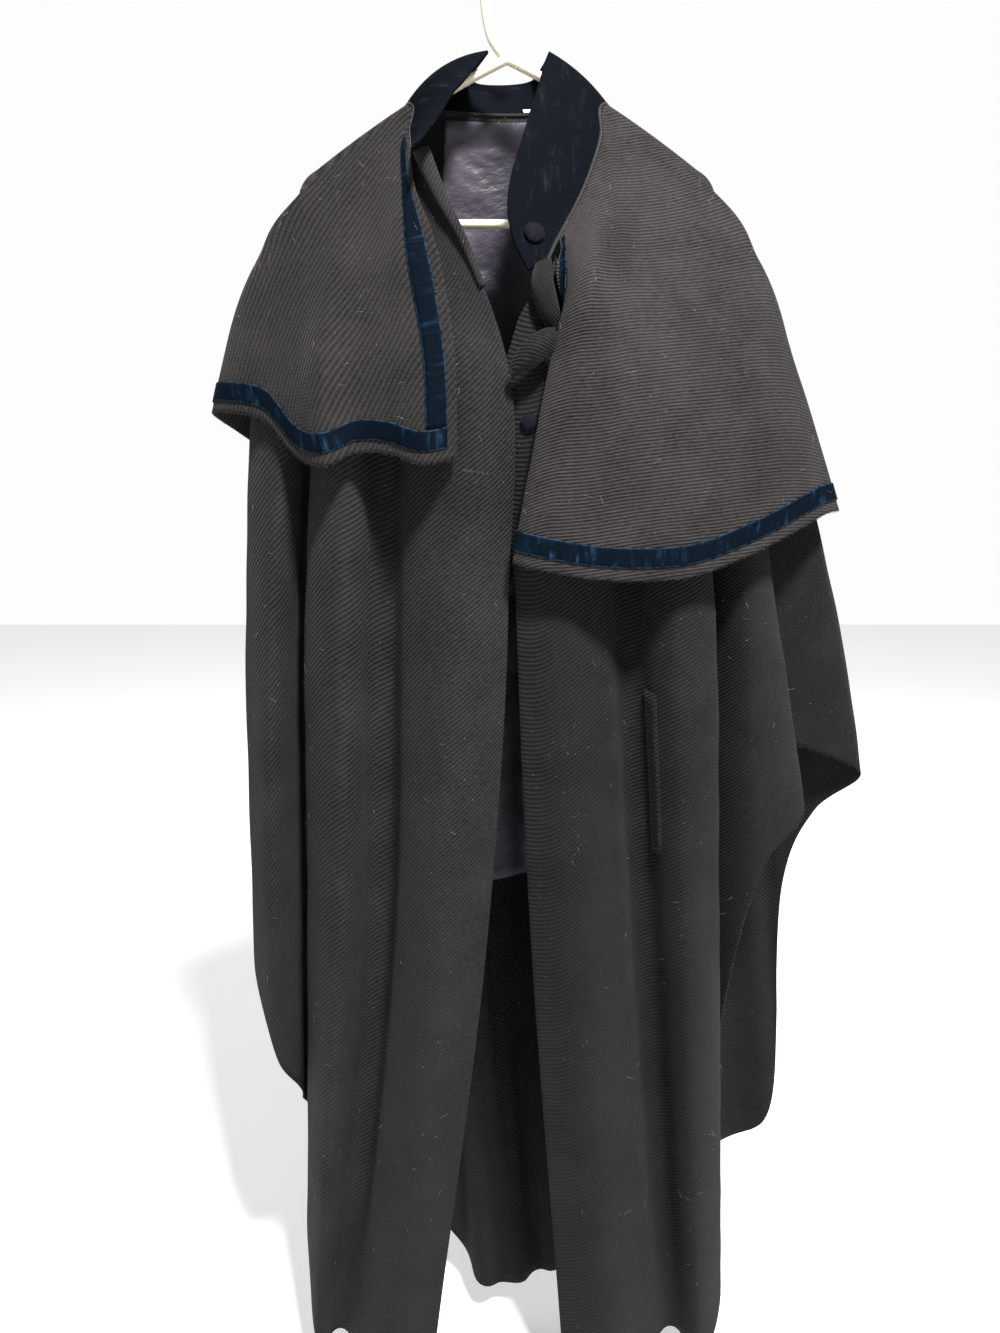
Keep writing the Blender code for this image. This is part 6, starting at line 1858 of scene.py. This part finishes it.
@dataclass
class Button:
    """Velvet-covered button, turned from its half profile and set with its back just off the cloth."""

    name: str
    node: str
    radius: float
    height: float
    profile: tuple[Pair, ...] = ((0.0, 1.0), (0.22, 0.985), (0.45, 0.93), (0.64, 0.83), (0.80, 0.69), (0.92, 0.52),
                                 (1.0, 0.33), (1.0, 0.20), (0.95, 0.09), (0.86, 0.02), (0.78, 0.0))
    sides: int = 48
    lift: float = 0.0005

    def build(self, spot: tuple[np.ndarray, np.ndarray], under: float, finish: bpy.types.Material,
              seed: int) -> bpy.types.Object:
        """Turn the button and set it on the cloth.

        Args:
            spot: Point and normal of the cloth under it.
            under: Thickness of the cloth.
            finish: Finish.
            seed: Seed of the cover's small dents.

        Returns:
            The piece.
        """
        rng = np.random.default_rng(seed)
        shape = bmesh.new()
        rings = []
        phases = rng.uniform(0.0, 6.28, 3)
        for reach, rise in self.profile[1:]:
            ring = []
            for corner in range(self.sides):
                angle = 2 * math.pi * corner / self.sides
                dent = 1 - 0.012 * reach * (1 + math.sin(5 * angle + phases[0]) + math.sin(9 * angle + phases[1])) / 2
                ring.append(shape.verts.new((self.radius * reach * dent * math.cos(angle),
                                             self.radius * reach * dent * math.sin(angle), self.height * rise)))
            rings.append(ring)
        crown = shape.verts.new((0.0, 0.0, self.height))
        for corner in range(self.sides):
            follow = (corner + 1) % self.sides
            shape.faces.new((crown, rings[0][corner], rings[0][follow]))
            for upper, lower in zip(rings, rings[1:]):
                shape.faces.new((upper[corner], lower[corner], lower[follow], upper[follow]))
        shape.faces.new(rings[-1][::-1])
        turn = Vector((0.0, 0.0, 1.0)).rotation_difference(Vector(spot[1]).normalized())
        place = Vector(spot[0] + spot[1] * (under / 2 + self.lift))
        uv = shape.loops.layers.uv.new("cut")
        for face in shape.faces:
            for corner in face.loops:
                corner[uv].uv = corner.vert.co.xy
        for vertex in shape.verts:
            vertex.co = turn @ vertex.co + place
        bmesh.ops.recalc_face_normals(shape, faces=shape.faces)
        mesh = bpy.data.meshes.new(self.name)
        shape.to_mesh(mesh)
        shape.free()
        return put(link(self.name, mesh, finish), "velvet", self.node)


@dataclass
class Studio:
    """Pale floor, soft lights and the camera."""

    floor_size: float = 12.0
    ambient: float = 0.50

    def floor(self) -> None:
        """Lay the floor."""
        mesh = bpy.data.meshes.new("studio_floor")
        half = self.floor_size / 2
        mesh.from_pydata([(-half, -half, FLOOR_Z), (half, -half, FLOOR_Z), (half, half, FLOOR_Z),
                          (-half, half, FLOOR_Z)], [], [(0, 1, 2, 3)])
        recipe = Recipe("pale_floor")
        place = recipe.node("ShaderNodeTexCoord", {}, {}, "Object")
        colour = recipe.mix((0.86, 0.86, 0.86), (0.90, 0.90, 0.90), recipe.noise(place, 3.0))
        link("studio_floor", mesh, recipe.finish(colour, 0.7, None, emission_color=(1.0, 1.0, 1.0), emission_strength=0.30))

    def light(self, name: str, place: Point, target: Point, size: float, power: float, colour: Point) -> None:
        """Hang a square soft light that faces a target."""
        data = bpy.data.lights.new(name, "AREA")
        data.size = size
        data.energy = power
        data.color = colour
        lamp = bpy.data.objects.new(name, data)
        lamp.location = place
        lamp.rotation_euler = (Vector(target) - Vector(place)).to_track_quat("-Z", "Y").to_euler()
        bpy.context.scene.collection.objects.link(lamp)

    def build(self) -> None:
        """Make the floor, the world, the lights and the camera."""
        self.floor()
        scene = bpy.context.scene
        world = bpy.data.worlds.new("studio")
        world.use_nodes = True
        world.node_tree.nodes["Background"].inputs["Color"].default_value = (1.0, 1.0, 1.0, 1.0)
        nodes, links = world.node_tree.nodes, world.node_tree.links
        seen = nodes.new("ShaderNodeBackground")
        seen.inputs["Color"].default_value = (1.0, 1.0, 1.0, 1.0)
        seen.inputs["Strength"].default_value = 0.98
        nodes["Background"].inputs["Strength"].default_value = self.ambient
        both = nodes.new("ShaderNodeMixShader")
        links.new(nodes.new("ShaderNodeLightPath").outputs["Is Camera Ray"], both.inputs["Fac"])
        links.new(nodes["Background"].outputs[0], both.inputs[1])
        links.new(seen.outputs[0], both.inputs[2])
        links.new(both.outputs[0], nodes["World Output"].inputs["Surface"])
        scene.world = world
        middle = (0.0, 0.0, -0.6)
        self.light("key", (0.60, -1.55, 1.75), middle, 0.4, 262.0, (1.0, 0.985, 0.96))
        self.light("back", (0.6, 2.4, 1.2), middle, 2.0, 20.0, (1.0, 1.0, 1.0))
        scene.view_settings.view_transform = "Standard"
        scene.view_settings.look = "None"
        data = bpy.data.cameras.new("photograph")
        data.lens = CAMERA_LENS
        data.sensor_width = 36.0
        data.clip_start = 0.01
        camera = bpy.data.objects.new("photograph", data)
        camera.location = CAMERA_PLACE
        camera.rotation_euler = (math.radians(CAMERA_PITCH), 0.0, 0.0)
        scene.collection.objects.link(camera)
        scene.camera = camera


def main() -> None:
    """Load the frame and dress it."""
    logging.basicConfig(level=logging.INFO, format="%(message)s", stream=sys.stdout)
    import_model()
    finishes = Finishes()
    Hanger(finishes.plastic).build()
    body = Body(finishes)
    body.build()
    ShoulderCape(finishes).build()
    collar = StandCollar(finishes)
    collar.build()
    spot = collar.grid([19.25, 19.55, 19.85], np.linspace(0.17, 0.77, 7))
    Button("collar_button_cover", "collar_button", 0.0102, 0.0060).build(
        (spot.points[1, 3], spot.normals[1, 3]), COLLAR_CLOTH, finishes.button, 41)
    end = len(body.ring.lines) - 1
    near = ring_panel(body.ring, [end - 0.52, end - 0.42, end - 0.32], list(np.linspace(0.0, 0.3, 61)))
    row = nearest(near.points[1, :, 2], -0.452)
    Button("front_button_cover", "front_button", 0.0085, 0.0055).build(
        (near.points[1, row], near.normals[1, row]), WOOL, finishes.button, 42)
    Studio().build()


if __name__ == "__main__":
    main()
